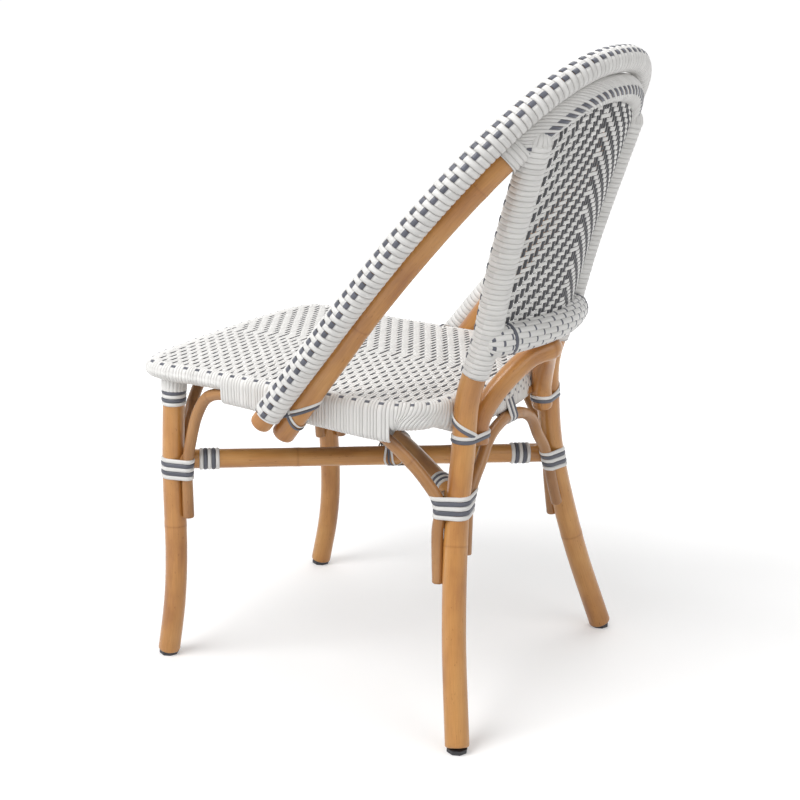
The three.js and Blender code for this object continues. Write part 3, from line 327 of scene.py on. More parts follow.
def cane_material(name, light, middle, dark, rough=0.36):
    """Lacquered pole: lengthwise fibres, blotches, pores and dark rings where leaves grew."""
    def colours(tree):
        grain = tree.attribute("grain", "Vector")
        blotch = tree.noise(grain, 30, (1, 1, 0.35), 4)
        fibre = tree.noise(grain, 900, (1, 1, 0.03), 2)
        pores = tree.noise(grain, 420, (1, 1, 0.3), 2)
        colour = tree.ramp(blotch, (0.3, dark), (0.5, middle), (0.72, light))
        streak = tree.ramp(fibre, (0.3, (0.8, 0.76, 0.7)), (0.6, PLAIN))
        speck = tree.ramp(pores, (0.24, (0.55, 0.42, 0.3)), (0.33, PLAIN))
        line = tree.ramp(tree.attribute("ring_and_groove_shade", "Fac"),
                         (0.0, (0.6, 0.48, 0.38)), (0.2, (0.85, 0.78, 0.7)), (0.6, PLAIN))
        for factor, layer in ((0.55, streak), (0.7, speck), (0.5, line)):
            colour = tree.multiply(factor, colour, layer)
        return colour, fibre
    return finished(name, colours, 0.12, 0.0004, Roughness=rough, Coat_Weight=0.35, Coat_Roughness=0.16)


def strand_material(name, light, dark, rough=0.42, sheen=0.05):
    """Flat resin strand: fine ribs along it, small changes of tone, and painted shade in the grooves beside
    it.
    """
    def colours(tree):
        grain = tree.attribute("grain", "Vector")
        rib = tree.noise(grain, 1000, (1, 1, 0.02), 1)
        tone = tree.noise(grain, 60, (1, 1, 0.25), 3)
        colour = tree.ramp(tone, (0.3, dark), (0.62, light))
        line = tree.ramp(rib, (0.3, (0.86, 0.86, 0.87)), (0.55, PLAIN))
        # Painted shade: the attribute darkens each strand towards its edges, where the grooves between
        # strands lie in shade.
        painted_groove_shade = tree.ramp(tree.attribute("ring_and_groove_shade", "Fac"), (0.0, (0.4, 0.39, 0.38)), (0.85, PLAIN))
        return tree.multiply(0.75, tree.multiply(0.6, colour, line), painted_groove_shade), rib
    return finished(name, colours, 0.25, 0.0003, Roughness=rough, Sheen_Weight=sheen,
                    Specular_IOR_Level=0.4)


def hard_material(name, light, dark, rough, metal, scale):
    """Plain plastic or metal with a fine uneven grain."""
    def colours(tree):
        grainy = tree.noise(tree.add("TexCoord", "Object", {}), scale, PLAIN, 4)
        return tree.ramp(grainy, (0.35, dark), (0.65, light)), grainy
    return finished(name, colours, 0.15, 0.0002, Roughness=rough, Metallic=metal)


cane = cane_material("cane", (0.6, 0.3, 0.084), (0.52, 0.235, 0.057), (0.38, 0.15, 0.034))
# Painted shade: a darker copy of the cane, for the arches, seat frame and rails under the seat and for the
# lower back rail.
painted_shade_cane = cane_material("painted_shade_cane", (0.46, 0.23, 0.075), (0.37, 0.17, 0.05),
                           (0.26, 0.11, 0.032), 0.42)
white = strand_material("white_strand", (0.8, 0.79, 0.77), (0.7, 0.69, 0.67))
grey = strand_material("grey_strand", (0.13, 0.135, 0.165), (0.085, 0.09, 0.11), 0.4, 0.0)
# Painted shade: a darker copy of the grey strand for the woven seat and back, where the crossings lie in
# shade.
painted_shade_grey = strand_material("shaded_grey_strand", (0.07, 0.07, 0.078), (0.04, 0.04, 0.045), 0.45, 0.0)
plastic = hard_material("glide_plastic", (0.05, 0.05, 0.055), (0.025, 0.025, 0.03), 0.5, 0.0, 300)
steel = hard_material("pin_steel", (0.6, 0.6, 0.6), (0.45, 0.44, 0.43), 0.35, 1.0, 200)


# Mesh building

def stand(name, data):
    """Put a new object into the scene."""
    thing = bpy.data.objects.new(name, data)
    bpy.context.scene.collection.objects.link(thing)
    return thing


class Patches:
    """Grids of points that become one piece."""

    def __init__(self):
        self.points, self.faces, self.looks, self.grain, self.ring_and_groove_shade = [], [], [], [], []
        self.count = 0

    def add(self, points, grain, look, ring_and_groove_shade, round_off=False):
        """Add grids of points and grain, (..., rows, columns, 3), closed across if round_off is set.

        look is the material's number, of each face or of all, and the next grid fills the attribute of its
        own name: nearness to node rings on poles, and painted shade towards the edges of strands."""
        points = np.asarray(points, float)
        *batch, rows, columns, _ = points.shape
        batch = int(np.prod(batch)) if batch else 1
        i = np.arange(rows - 1)[:, None]
        j = np.arange(columns if round_off else columns - 1)[None, :]
        a, b = i * columns + j, i * columns + (j + 1) % columns
        one = np.stack([a, b, b + columns, a + columns], -1).reshape(-1, 4)
        all_faces = (one[None] + (np.arange(batch) * rows * columns)[:, None, None]).reshape(-1, 4)
        self.faces.append(all_faces + self.count)
        self.points.append(points.reshape(-1, 3))
        self.grain.append(np.broadcast_to(grain, points.shape).reshape(-1, 3))
        self.ring_and_groove_shade.append(np.broadcast_to(ring_and_groove_shade, points.shape[:-1]).reshape(-1))
        self.looks.append(np.broadcast_to(np.ravel(look), (len(all_faces),)))
        self.count += points.size // 3

    def build(self, name, nodes, materials=(white, grey)):
        points = (np.vstack(self.points) + SHIFT) * 0.001
        mesh = bpy.data.meshes.new(name)
        mesh.from_pydata(points.tolist(), [], np.vstack(self.faces).tolist())
        for material in materials:
            mesh.materials.append(material)
        mesh.polygons.foreach_set("material_index", np.concatenate(self.looks).astype(np.int32))
        mesh.polygons.foreach_set("use_smooth", np.ones(len(mesh.polygons), bool))
        layer = mesh.attributes.new("grain", "FLOAT_VECTOR", "POINT")
        layer.data.foreach_set("vector", (np.vstack(self.grain) * 0.001).ravel())
        layer = mesh.attributes.new("ring_and_groove_shade", "FLOAT", "POINT")
        layer.data.foreach_set("value", np.concatenate(self.ring_and_groove_shade))
        mesh.update()
        piece = stand(name, mesh)
        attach(piece, "root")
        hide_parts(*nodes)


def framed(route, s, aim):
    """Points, and two directions across the route, the first as near to aim as it can be."""
    along = route.along(s)
    first = unit(aim - (along @ aim)[..., None] * along)
    return route.at(s), first, np.cross(along, first)


RING_REACH, RING_HIGH, RING_LINE = 5.0, 0.4, 0.2


def pole(name, route, radius, material, aim, low=0.0, high=None, sides=26, nose=2.5,
         seed=1):
    """A round pole with swollen rings along it and eased ends."""
    high = route.length if high is None else high
    rng = np.random.default_rng(seed)
    spots = np.cumsum(rng.uniform(190, 330, 12)) + low - rng.uniform(20, 120)
    spots = spots[(spots > low + 15) & (spots < high - 15)]
    plain = np.linspace(low, high, max(6, int((high - low) / 6)))
    close = [spot + offset for spot in spots for offset in (-6, -3.5, -2, -1, 0, 1, 2, 3.5, 6)]
    eased = [end + way * nose * k for end, way in ((low, 1), (high, -1)) for k in (0, 0.12, 0.45, 1)]
    s = np.unique(np.round(np.concatenate([plain, close, eased]), 2))
    edge = np.clip(np.minimum(s - low, high - s) / nose, 0, 1)
    r = radius - nose * (1 - np.sqrt(1 - (1 - edge) ** 2))
    away = np.full(len(s), 1.0)
    for spot in spots:
        near = np.abs(s - spot)
        r = r + RING_HIGH * np.exp(-(near / 5.5) ** 2) - RING_LINE * np.exp(-(near / 1.0) ** 2)
        away = np.minimum(away, near / RING_REACH)
    s = np.concatenate([[low], s, [high]])
    r = np.concatenate([[0.01], r, [0.01]])
    away = np.concatenate([[1], away, [1]])
    turn = 2 * np.pi * np.arange(sides) / sides
    wave = 0.12 * np.sin(s[:, None] / 37 + seed) * np.cos(2 * turn + seed)
    middle, first, second = framed(route, s, aim)
    across = (np.cos(turn)[None, :, None] * first[:, None]
              + np.sin(turn)[None, :, None] * second[:, None])
    reach = np.maximum(r[:, None] + wave, 0.01)
    patches = Patches()
    grain = np.stack([radius * np.cos(turn)[None] + 0 * s[:, None] + 71 * seed,
                      radius * np.sin(turn)[None] + 0 * s[:, None],
                      s[:, None] + 0 * turn[None]], -1)
    patches.add(middle[:, None] + across * reach[..., None], grain, 0, away[:, None], True)
    patches.build(name, [name], [material])


CROWN = np.array((0, 0.05, 0.2, 0.5, 0.8, 0.95, 1))


def crown(across, power=2.8):
    return np.sqrt(np.maximum(0, 1 - np.abs(2 * across - 1) ** power))


def bands(patches, section, bounds, high, turns, weights=None, marks=None, looks=None, shear=0.0,
          clip=None, lean=None, depth=0.6):
    """Flat strands wound side by side, strand k from bounds[k] to bounds[k + 1] along what it binds.

    section(s, k) gives the middle, two directions across, and the poles held: centres and radii.
    weights share each station between the first pole held and the second. Without them the strand
    goes round all of them. marks(k) gives the stations between which a grey strand lies on top."""
    turns = np.asarray(turns)
    for k, (low_s, high_s) in enumerate(zip(bounds[:-1], bounds[1:])):
        across = CROWN[:, None]
        s = low_s + (high_s - low_s) * across + shear * (turns / (2 * np.pi))[None]
        if lean is not None:
            s = s + lean(s, turns[None])
        if clip:
            s = np.clip(s, *clip)
            if np.ptp(s) < 0.2:
                continue
        middle, first, second, held = section(s, k)
        out = np.cos(turns)[None, :, None] * first + np.sin(turns)[None, :, None] * second
        rise = high * crown(across) + 0 * s
        look = np.full((len(CROWN) - 1, len(turns) - 1), 0 if looks is None else looks[k])
        for begin, finish in (marks(k) if marks else ()):
            rise[:, begin:finish + 1] = high * (0.92 + 0.2 * crown(across, 6))
            rise[:, [begin, finish]] = high * 0.3 * crown(across)
            look[:, begin:finish] = 1
        if weights is None:
            reach = np.stack([np.sum((centre - middle) * out, -1) + radius
                              for centre, radius in held])
            spots = np.stack([centre + out * (radius + rise)[..., None]
                              for centre, radius in held])
            best = reach.argmax(0)
            points = np.take_along_axis(spots, best[None, ..., None], 0)[0]
            size = reach.max(0)
        else:
            (one, one_r), (two, two_r) = held
            share = weights[None, :, None]
            size = one_r + (two_r - one_r) * weights[None]
            points = one + (two - one) * share + out * (size + rise)[..., None]
        grain = np.stack([(high_s - low_s) * across + 13.7 * k + 0 * s,
                          0 * s + 29.3 * (k % 7), size * turns[None]], -1)
        # Painted shade: depth darkens the attribute towards each strand's edges, for shade in the grooves
        # between turns.
        patches.add(points, grain, look, 1 - depth * (1 - crown(across)) + 0 * s)


def round_section(route, radius, aim):
    """Section of one pole for bands."""
    def section(s, k):
        middle, first, second = framed(route, s, aim)
        size = radius(s) if callable(radius) else radius + 0 * s
        return middle, first, second, [(middle, size)]
    return section


def with_windows(count, *windows):
    """Angles of one turn with extra ones in each window, and each window's first and last station."""
    step = 2 * np.pi / count
    angles = np.linspace(0, 2 * np.pi, count + 1)
    for begin, finish in windows:
        angles = angles[(angles < begin - 0.6 * step) | (angles > finish + 0.6 * step)]
        inner = (begin - 0.1, begin, begin + 0.08, (begin + finish) / 2, finish - 0.08, finish, finish + 0.1)
        angles = np.sort(np.concatenate([angles, inner]))
    ends = [(int(np.argmin(abs(angles - begin))), int(np.argmin(abs(angles - finish))))
            for begin, finish in windows]
    return angles, ends


def flutes(patches, route, radius, count, high, low, top, aim=SIDE_WAY, twist=0.0, mark=None,
           step=2.0):
    """Strands laid lengthwise round a pole, with short grey crossings where mark(s, strand) is true."""
    s = np.linspace(low, top, int((top - low) / step) + 2)
    across = np.array((0.0, 0.07, 0.3, 0.7, 0.93))
    turn = (np.arange(count)[:, None] + across[None]).ravel() * 2 * np.pi / count
    strand = np.repeat(np.arange(count), len(across))
    angle = turn[None] + twist * (s[:, None] - low)
    middle, first, second = framed(route, s, aim)
    out = (np.cos(angle)[..., None] * first[:, None]
           + np.sin(angle)[..., None] * second[:, None])
    rise = high * crown(np.tile(across, count))[None] + 0 * s[:, None]
    look = np.zeros((len(s) - 1, len(turn)), int)
    if mark:
        look = mark((s[:-1] + s[1:])[:, None] / 2, strand[None]).astype(int)
    grain = np.stack([POST_R * turn[None] + 0 * angle, strand[None] * 31.7 + 0 * angle,
                      s[:, None] + 0 * angle], -1)
    size = radius(s)[:, None] if callable(radius) else radius
    # Painted shade: the attribute falls from the crown of each strand to its edges, for shade in the grooves
    # between strands.
    patches.add(middle[:, None] + out * (size + rise)[..., None], grain, look,
                0.55 + 0.45 * rise / high, True)


SECTION = 2 * np.pi * np.arange(8) / 8


def strands(patches, path, width, thick, way, normal, look, grain, depth=0.55):
    """Flat strands along paths (strands, points, 3), as closed bands with rounded edges."""
    wide = np.sign(np.cos(SECTION)) * np.abs(np.cos(SECTION)) ** 0.6 * width / 2
    tall = np.sin(SECTION) * thick / 2
    points = (path[..., None, :] + way[..., None, :] * wide[:, None]
              + normal[..., None, :] * tall[:, None])
    steps = np.diff(path, axis=-2, prepend=path[..., :1, :])
    run = np.cumsum(np.linalg.norm(steps, axis=-1), -1)
    number = np.arange(path.shape[0])[:, None, None]
    zero = np.zeros(points.shape[:-1])
    grain = np.stack([zero + wide + 17.3 * number + grain, zero + 23.9 * (number % 5),
                      zero + run[..., None]], -1)
    # Painted shade: depth darkens the attribute at the strand's side edges, for shade where it meets its
    # neighbours.
    patches.add(points, grain, look, zero + 1 - depth * (1 - np.abs(np.sin(SECTION))), True)


def weave_height(place_at, over):
    """Height of a strand that passes over or under the ones it meets at whole numbers plus a half."""
    t = place_at - 0.5
    near = np.floor(t).astype(int)
    share = np.clip((t - near - 0.2) / 0.6, 0, 1)
    share = share * share * (3 - 2 * share)
    return over(near) * (1 - share) + over(near + 1) * share


# Bare poles
BRACE_CUT = 13
for name, side in SIDES.items():
    pole(f"rear_post_{name}", posts[side], POST_R, cane, SIDE_WAY, low=LEG_BOTTOM, seed=3 + side)
    top = legs[side].find(2, RAIL - SEAT_R - GAP)
    pole(f"front_leg_{name}", legs[side], LEG_R, cane, SIDE_WAY, low=LEG_BOTTOM, high=top, seed=7 + side)
    pole(f"side_arch_{name}", side_arches[side], ARCH_R, painted_shade_cane, SIDE_WAY,
         sides=18, seed=11 + side)
for name, route, radius, aim, sides, seed in (
        ("front_arch", front_arch, ARCH_R, BACK_WAY, 18, 14),
        ("rear_arch", rear_arch, ARCH_R, BACK_WAY, 18, 15),
        ("seat_frame_hoop", seat_loop, SEAT_R, UP, 16, 16),
        ("rear_seat_rail", rear_rail, REAR_RAIL_R, UP, 16, 17)):
    pole(name, route, radius, painted_shade_cane, aim, sides=sides, seed=seed)
pole("outer_hoop", outer_hoop, OUTER_R, cane, HOOP_NORMAL, seed=18, nose=5)
pole("inner_hoop", inner_hoop, INNER_R, cane, HOOP_NORMAL, seed=19, nose=5)
pole("lower_back_rail", back_rail, BACK_RAIL_R, painted_shade_cane, UP, seed=20)
pole("back_brace_arch", brace, BRACE_R, cane, BACK_WAY, low=BRACE_CUT, high=brace.length - BRACE_CUT,
     seed=21, nose=5)
pole("stretcher_low", stretcher_low, STRETCHER_R, cane, UP, seed=22)
pole("stretcher_high", stretcher_high, STRETCHER_R, cane, UP, seed=23)

# Outer hoop: white turns over two grey strips that show at every other turn
WRAP_PITCH, WRAP_SIDES = 8.5, 26


def hoop_radius(s):
    return np.interp(outer_hoop.at(s)[..., 2], (RAIL, RAIL + 430), (OUTER_R + 2.2, OUTER_R + 0.6))


def turns_between(low, high, pitch, shear):
    return np.arange(low - max(pitch, shear), high + pitch, pitch)


def wind(name, route, radius, pitch, high, aim, low, top, windows=(), every=2, starts=1, nodes=None,
         depth=0.45):
    """Cover one pole with turns that climb `starts` pitches a turn; grey shows through the windows."""
    stations, ends = with_windows(WRAP_SIDES, *windows)
    patches = Patches()
    bands(patches, round_section(route, radius, aim), turns_between(low, top, pitch, starts * pitch),
          high, stations, marks=lambda k: [end for n, end in enumerate(ends) if k % every == n],
          shear=starts * pitch, clip=(low, top), depth=depth)
    patches.build(name, nodes or [name])


# depth=0.9 paints deep shade into the grooves between the hoop's turns.
wind("outer_hoop_wrap", outer_hoop, hoop_radius, WRAP_PITCH, 2.0, HOOP_NORMAL, BARE_TIP,
     outer_hoop.length - BARE_TIP, windows=((4.38, 4.81), (5.13, 5.56)), depth=0.9)

# Inner hoop: slanted strands over the shoulders and the top, with a row of grey diamonds
shoulders = [inner_hoop.find(0, -168, 0.2, 0.5), inner_hoop.find(0, 168, 0.5, 0.8)]
SHOULDER_LONG = 26
wind("inner_hoop_wrap", inner_hoop, INNER_R + 0.9, 6.5, 1.5, HOOP_NORMAL, shoulders[0] + SHOULDER_LONG,
     shoulders[1] - SHOULDER_LONG, windows=((3.32, 4.02),), starts=20)
for name, low, top in (("right", shoulders[0], shoulders[0] + SHOULDER_LONG),
                       ("left", shoulders[1] - SHOULDER_LONG, shoulders[1])):
    wind(f"inner_hoop_shoulder_{name}", inner_hoop, INNER_R + 1.2, 6.5, 1.7, HOOP_NORMAL, low, top,
         windows=((0.95, 2.3),), every=1, nodes=["inner_hoop_wrap"])

# Posts: white turns above the lower back rail, with a row of grey marks, and strands over the top
OUTER_SIDE, MARK_HALF = math.radians(300), 0.17
POST_TOP_SET, POST_TOP_ROUND = 6, 19


def rounded(share):
    return np.sqrt(np.clip(1 - share ** 2, 0.02, 1))


def post_top_size(s):
    return (POST_R + 1.2) * rounded((s - top_s) / POST_TOP_ROUND)


for name, side in SIDES.items():
    edge_angle = OUTER_SIDE if side > 0 else 3 * math.pi - OUTER_SIDE
    wind(f"rear_post_wrap_{name}", posts[side], POST_R + 0.8, 7.0, 1.9, SIDE_WAY,
         posts[side].find(2, BACK_RAIL_Z - 46.5), posts[side].length - 2, every=3,
         windows=((edge_angle - MARK_HALF, edge_angle + MARK_HALF),))
    post_top = Patches()
    top_s = posts[side].length - POST_TOP_SET
    flutes(post_top, posts[side], post_top_size, 15, 1.3, top_s, top_s + 18.6)
    post_top.build(f"post_top_fan_{name}", [f"rear_post_wrap_{name}"])


# Lower back rail: lengthwise strands with staggered grey crossings, and a grey band at each end
RAIL_STEP, RAIL_MARK, RAIL_ROUND, RAIL_PAST = 26, 3.6, 20, 13


def rail_mark(s, strand):
    return (s + RAIL_STEP // 2 * (strand % 2)) % RAIL_STEP < RAIL_MARK


def rail_size(s):
    past = np.maximum(np.maximum(6 - s, s - back_rail.length + 6), 0)
    return (BACK_RAIL_R + 4.2) * rounded(past / RAIL_ROUND)


rail_cover = Patches()
flutes(rail_cover, back_rail, rail_size, 16, 1.5, -RAIL_PAST, back_rail.length + RAIL_PAST, UP,
       twist=0.004, mark=rail_mark, step=1.3)
for low in (22, back_rail.length - 27.5):
    bands(rail_cover, round_section(back_rail, BACK_RAIL_R + 4.9, UP), [low, low + 5.5], 1.5,
          np.linspace(0, 2 * np.pi, 31), looks=[1])
rail_cover.build("lower_back_rail_cover", ["lower_back_rail_cover"])

# Woven back: grey uprights and white crossings in a broken twill, mirrored about the middle
PANEL_ROWS, PANEL_COLUMNS, PANEL_HALF, PANEL_BOW = 50, 38, 134, 10
top_part = (inner_hoop.s > 0.3 * inner_hoop.length) & (inner_hoop.s < 0.7 * inner_hoop.length)


def panel_point(across, up):
    bow = 1 - across ** 2
    low = np.stack([across * rail_end[0], rail_end[1] + BACK_BOW * bow, BACK_RAIL_Z + BACK_RISE * bow], -1)
    x = across * PANEL_HALF
    top = inner_hoop.p[top_part]
    high = np.stack([x] + [np.interp(x, top[:, 0], top[:, k]) for k in (1, 2)], -1)
    point = low + (high - low) * up[..., None]
    edge_high = vec(PANEL_HALF, *(np.interp(PANEL_HALF, top[:, 0], top[:, k]) for k in (1, 2)))
    edge = rail_point(1) + (edge_high - rail_point(1)) * up[..., None]
    post = posts[1].p
    point[..., 0] += across * (np.interp(point[..., 2], post[:, 2], post[:, 0]) - edge[..., 0])
    point[..., 1] += (np.abs(across) * (np.interp(point[..., 2], post[:, 2], post[:, 1]) - edge[..., 1])
                      + PANEL_BOW * bow * up * (1 - up))
    return point


def panel_frame(across, up):
    """Points of the back, and the ways across it, up it and out of its rear face."""
    h = 0.01
    rightward = unit(panel_point(across + h, up) - panel_point(across - h, up))
    upward = unit(panel_point(across, up + h) - panel_point(across, up - h))
    normal = unit(np.cross(upward, rightward))
    return panel_point(across, up), rightward, upward, -normal


def back_over(row, column):
    """1 where the grey upright lies on the rear face, -1 where the white crossing does."""
    middle = np.where(column < 0, -1 - column, column)
    return np.where((row + middle) % 4 < 2, 1, -1)


BACK_SWING, BACK_WIDTH, BACK_THICK = 0.65, 5.5, 1.2
column_pitch = 1.0 / (PANEL_COLUMNS / 2)
columns = np.arange(-17, 17)
row_up = (np.arange(PANEL_ROWS) + 0.5) / PANEL_ROWS
panel = Patches()
t = np.linspace(-0.9, 0.9, 230)[None] + 0 * row_up[:, None]
point, rightward, upward_way, normal = panel_frame(t, row_up[:, None] + 0 * t)
row_number = np.arange(PANEL_ROWS)[:, None]
height = weave_height(t / column_pitch, lambda column: back_over(row_number, column))
# Painted groove shade is light on the white crossings (0.15) and at its default on the grey uprights.
strands(panel, point - normal * (BACK_SWING * height)[..., None], BACK_WIDTH, BACK_THICK, upward_way,
        normal, 0, 0, 0.15)
t = np.linspace(0.0, 1.0, 260)[None] + 0 * columns[:, None]
across = (columns[:, None] + 0.5) * column_pitch + 0 * t
point, rightward, upward_way, normal = panel_frame(across, t)
height = weave_height(t * PANEL_ROWS, lambda row: back_over(row, columns[:, None]))
strands(panel, point + normal * (BACK_SWING * height)[..., None], BACK_WIDTH, BACK_THICK, rightward,
        normal, 1, 400)
panel.build("back_panel", ["back_panel"], (white, painted_shade_grey))

# Seat: white strands from side to side, grey ones from front to rear, on a low dome
ROW, COLUMN, PERIOD = 3.8, 13.3, 5
SEAT_TOP, SEAT_DOME, SEAT_MIDDLE = RAIL + 10.4, 6.5, -0.24 * HALF_DEPTH
left_half = seat_loop.p[seat_loop.s >= seat_loop.length / 2]
left_s = seat_loop.s[seat_loop.s >= seat_loop.length / 2]
front_y, rear_y = left_half[0, 1], left_half[-1, 1]
widest = int(left_half[:, 0].argmax())
rear_start = int(np.argmax(left_half[:, 1] > 0))
seat_rows = np.arange(front_y + 7, rear_y - 4, ROW)
seat_columns = np.arange(-15, 15)
SEAT_SWING, SEAT_HALF, RIM_R, RIM_SINK = 0.8, 197, 11, 1.1


def seat_height(x, y, rim):
    """Height of the woven top, which turns down over the pole.

    rim is the way in from the pole's middle, and below zero outside it."""
    depth = np.where(y < SEAT_MIDDLE, SEAT_MIDDLE - front_y, rear_y - SEAT_MIDDLE)
    share = (np.abs(x / SEAT_HALF) ** 3 + np.abs((y - SEAT_MIDDLE) / depth) ** 3) ** (1 / 3)
    dome = SEAT_DOME * (1 - np.clip(share, 0, 1) ** 2)
    down = np.sqrt(np.maximum(0, RIM_R ** 2 - np.minimum(rim, 0) ** 2)) - RIM_R
    return SEAT_TOP + dome + down - RIM_SINK * np.clip((5 - rim) / 7, 0, 1) ** 2


def seat_over(row, column):
    """1 where a grey strand lies on the white one."""
    middle = np.where(column < 0, -1 - column, column)
    return np.where((row + 2 * middle) % PERIOD == 0, 1, -1)


seat = Patches()
reach = np.interp(seat_rows, left_half[:, 1], left_half[:, 0])
x = np.linspace(-1, 1, 170)[None] * (reach[:, None] + 5)
y = seat_rows[:, None] + 0 * x
row_number = np.arange(len(seat_rows))[:, None]
swing = weave_height(x / COLUMN, lambda column: seat_over(row_number, column))
z = seat_height(x, y, reach[:, None] - np.abs(x)) - SEAT_SWING * swing
path = np.stack([x, y, z], -1)
back_step = BACK_WAY + 0 * path
strands(seat, path, 3.45, 1.4, back_step, unit(np.cross(np.gradient(path, axis=1), back_step)), 0, 0)
seat.build("seat_white_strands", ["seat_cover"])
seat = Patches()
column_x = (seat_columns + 0.5) * COLUMN
front_end = np.interp(np.abs(column_x), left_half[:widest + 1, 0], left_half[:widest + 1, 1])
rear_part = left_half[rear_start:][::-1]
rear_end = np.interp(np.abs(column_x), rear_part[:, 0], rear_part[:, 1])
y = front_end[:, None] + np.linspace(0, 1, 480)[None] * (rear_end - front_end)[:, None]
x = column_x[:, None] + 0 * y
rim = np.minimum(y - front_end[:, None], rear_end[:, None] - y)
swing = weave_height((y - seat_rows[0]) / ROW + 0.5, lambda row: seat_over(row, seat_columns[:, None]))
path = np.stack([x, y, seat_height(x, y, rim) + SEAT_SWING * swing], -1)
side_step = SIDE_WAY + 0 * path
strands(seat, path, 9.4, 1.3, side_step, unit(np.cross(side_step, np.gradient(path, axis=1))), 1, 500)
seat.build("seat_grey_strands", ["seat_cover"], (white, painted_shade_grey))

# Turns over the seat frame: round its pole in front, and at the sides round the arch under it too
TURN_SHARES = np.array((0, 0.34, 0.56, 0.78))
TURN = PERIOD * ROW / len(TURN_SHARES)
side_y = seat_rows[4] - ROW / 2 + PERIOD * ROW * (np.arange(22)[:, None] + TURN_SHARES).ravel()
side_bounds = np.interp(side_y[side_y < 100], left_half[:, 1], left_s)


def filled(low, high, pitch, group=1):
    count = group * max(1, round((high - low) / pitch / group))
    return np.linspace(low, high, count + 1)


half_bounds = np.concatenate([filled(left_s[0], side_bounds[0], TURN, len(TURN_SHARES))[:-1], side_bounds,
                              filled(side_bounds[-1], left_s[-1], TURN)[1:]])
half_count = len(half_bounds) - 1
edge_bounds = np.concatenate([seat_loop.length - half_bounds[::-1], half_bounds[1:]])
edge_middle = (edge_bounds[:-1] + edge_bounds[1:]) / 2
BIND_FRONT, BIND_REAR = -0.63 * HALF_DEPTH, 0.395 * HALF_DEPTH
CORNER_DROP, REAR_DROP, REAR_SET = 12, 25, 3
EDGE_R, EDGE_LEAN = 11.2, 20
bind_start = np.interp(BIND_FRONT, left_half[:, 1], left_s)
bind_end = np.interp(BIND_REAR, left_half[:, 1], left_s)
corner_start, corner_end = (np.interp(-x, -left_half[rear_start:, 0], left_s[rear_start:])
                            for x in (150, 118))


def edge_section(s, k):
    """The seat pole, the arch bound under it at the sides and the rear rail under it behind."""
    middle, first, second = framed(seat_loop, s, UP)
    top = (middle, EDGE_R + 0 * s)
    way = max(edge_middle[k], seat_loop.length - edge_middle[k])
    if way < bind_start:
        return middle, first, second, [top, top]
    low = middle.copy()
    if way <= bind_end:
        low[..., 2] = ARCH_TOP - 0.042 * HALF_DEPTH * (middle[..., 1] / HALF_DEPTH + 0.65)
        return middle, first, second, [top, (low, ARCH_R + 2.2 + 0 * s)]
    folded = np.maximum(s, seat_loop.length - s)
    share = np.clip((folded - corner_start) / (corner_end - corner_start), 0, 1)
    low[..., 2] -= CORNER_DROP + (REAR_DROP - CORNER_DROP) * share
    low[..., 1] += REAR_SET * share
    return middle, first, second, [top, (low, EDGE_R * (1 - share) + (ARCH_R + 3.2) * share)]


def edge_lean(s, turn):
    """Between the binding and the rear rail the strands lean, with their lower ends further forward."""
    folded = np.maximum(s, seat_loop.length - s)
    ahead = np.where(s > seat_loop.length / 2, 1, -1)
    amount = EDGE_LEAN * np.clip((folded - bind_end - 4) / 22, 0, 1)
    amount = amount * np.clip((corner_end - folded) / (corner_end - corner_start), 0, 1)
    way_down = (1 - np.cos(turn) + 2 * edge_weights[None]) / 4
    return -ahead * amount * way_down


quarter_turn = np.pi / 2
stations = [(angle, 0) for angle in (0, 0.1, 0.2, 0.42, 0.64, 0.74, 0.95, 1.25, quarter_turn)]
stations += [(quarter_turn, w) for w in (0.12, 0.24, 0.36, 0.48, 0.6, 0.72, 0.84, 1)]
stations += [(angle, 1) for angle in np.linspace(quarter_turn, 3 * quarter_turn, 11)[1:]]
stations += [(3 * quarter_turn, w) for w in (0.5, 0)]
stations += [(angle, 0) for angle in np.linspace(3 * quarter_turn, 2 * np.pi, 6)[1:]]
edge_turns, edge_weights = np.array(stations).T


def edge_marks(k):
    """Grey crossings on top of every fourth turn, and staggered ones down the skirt behind."""
    way = max(edge_middle[k], seat_loop.length - edge_middle[k])
    own = k - half_count if k >= half_count else half_count - 1 - k
    found = [(2, 4)] if own % len(TURN_SHARES) == 0 else []
    if way > corner_end:
        found += [[(9, 10), (13, 14)], [], [(11, 12)], []][own % len(TURN_SHARES)]
    return found


edge = Patches()
bands(edge, edge_section, edge_bounds, 1.5, edge_turns, edge_weights, edge_marks, lean=edge_lean)
edge.build("seat_edge_wrap", ["seat_cover"])


# Lashings: flat white and grey turns side by side round the poles that meet
class Level:
    """Points of a route at given heights along one axis, within a part of it."""

    def __init__(self, route, axis, low, high):
        part = (route.s >= low * route.length) & (route.s <= high * route.length)
        self.axis, points = axis, route.p[part]
        self.points = points[np.argsort(points[:, axis])]

    def at(self, s):
        known = self.points[:, self.axis]
        return np.stack([s if k == self.axis else np.interp(s, known, self.points[:, k])
                         for k in range(3)], -1)


def level_section(first, second, *held):
    def section(s, k):
        found = [(level.at(s), radius + 0 * s) for level, radius in held]
        return found[0][0], first, second, found
    return section


ROUND = np.linspace(0, 2 * np.pi, 61)
STRIPES = [0, 1, 0, 1, 0]


def lash(name, middle, pitch, section, looks=STRIPES, high=2.0):
    patches = Patches()
    bounds = middle + pitch * (np.arange(len(looks) + 1) - len(looks) / 2)
    bands(patches, section, bounds, high, ROUND, looks=looks)
    patches.build(name, [name])


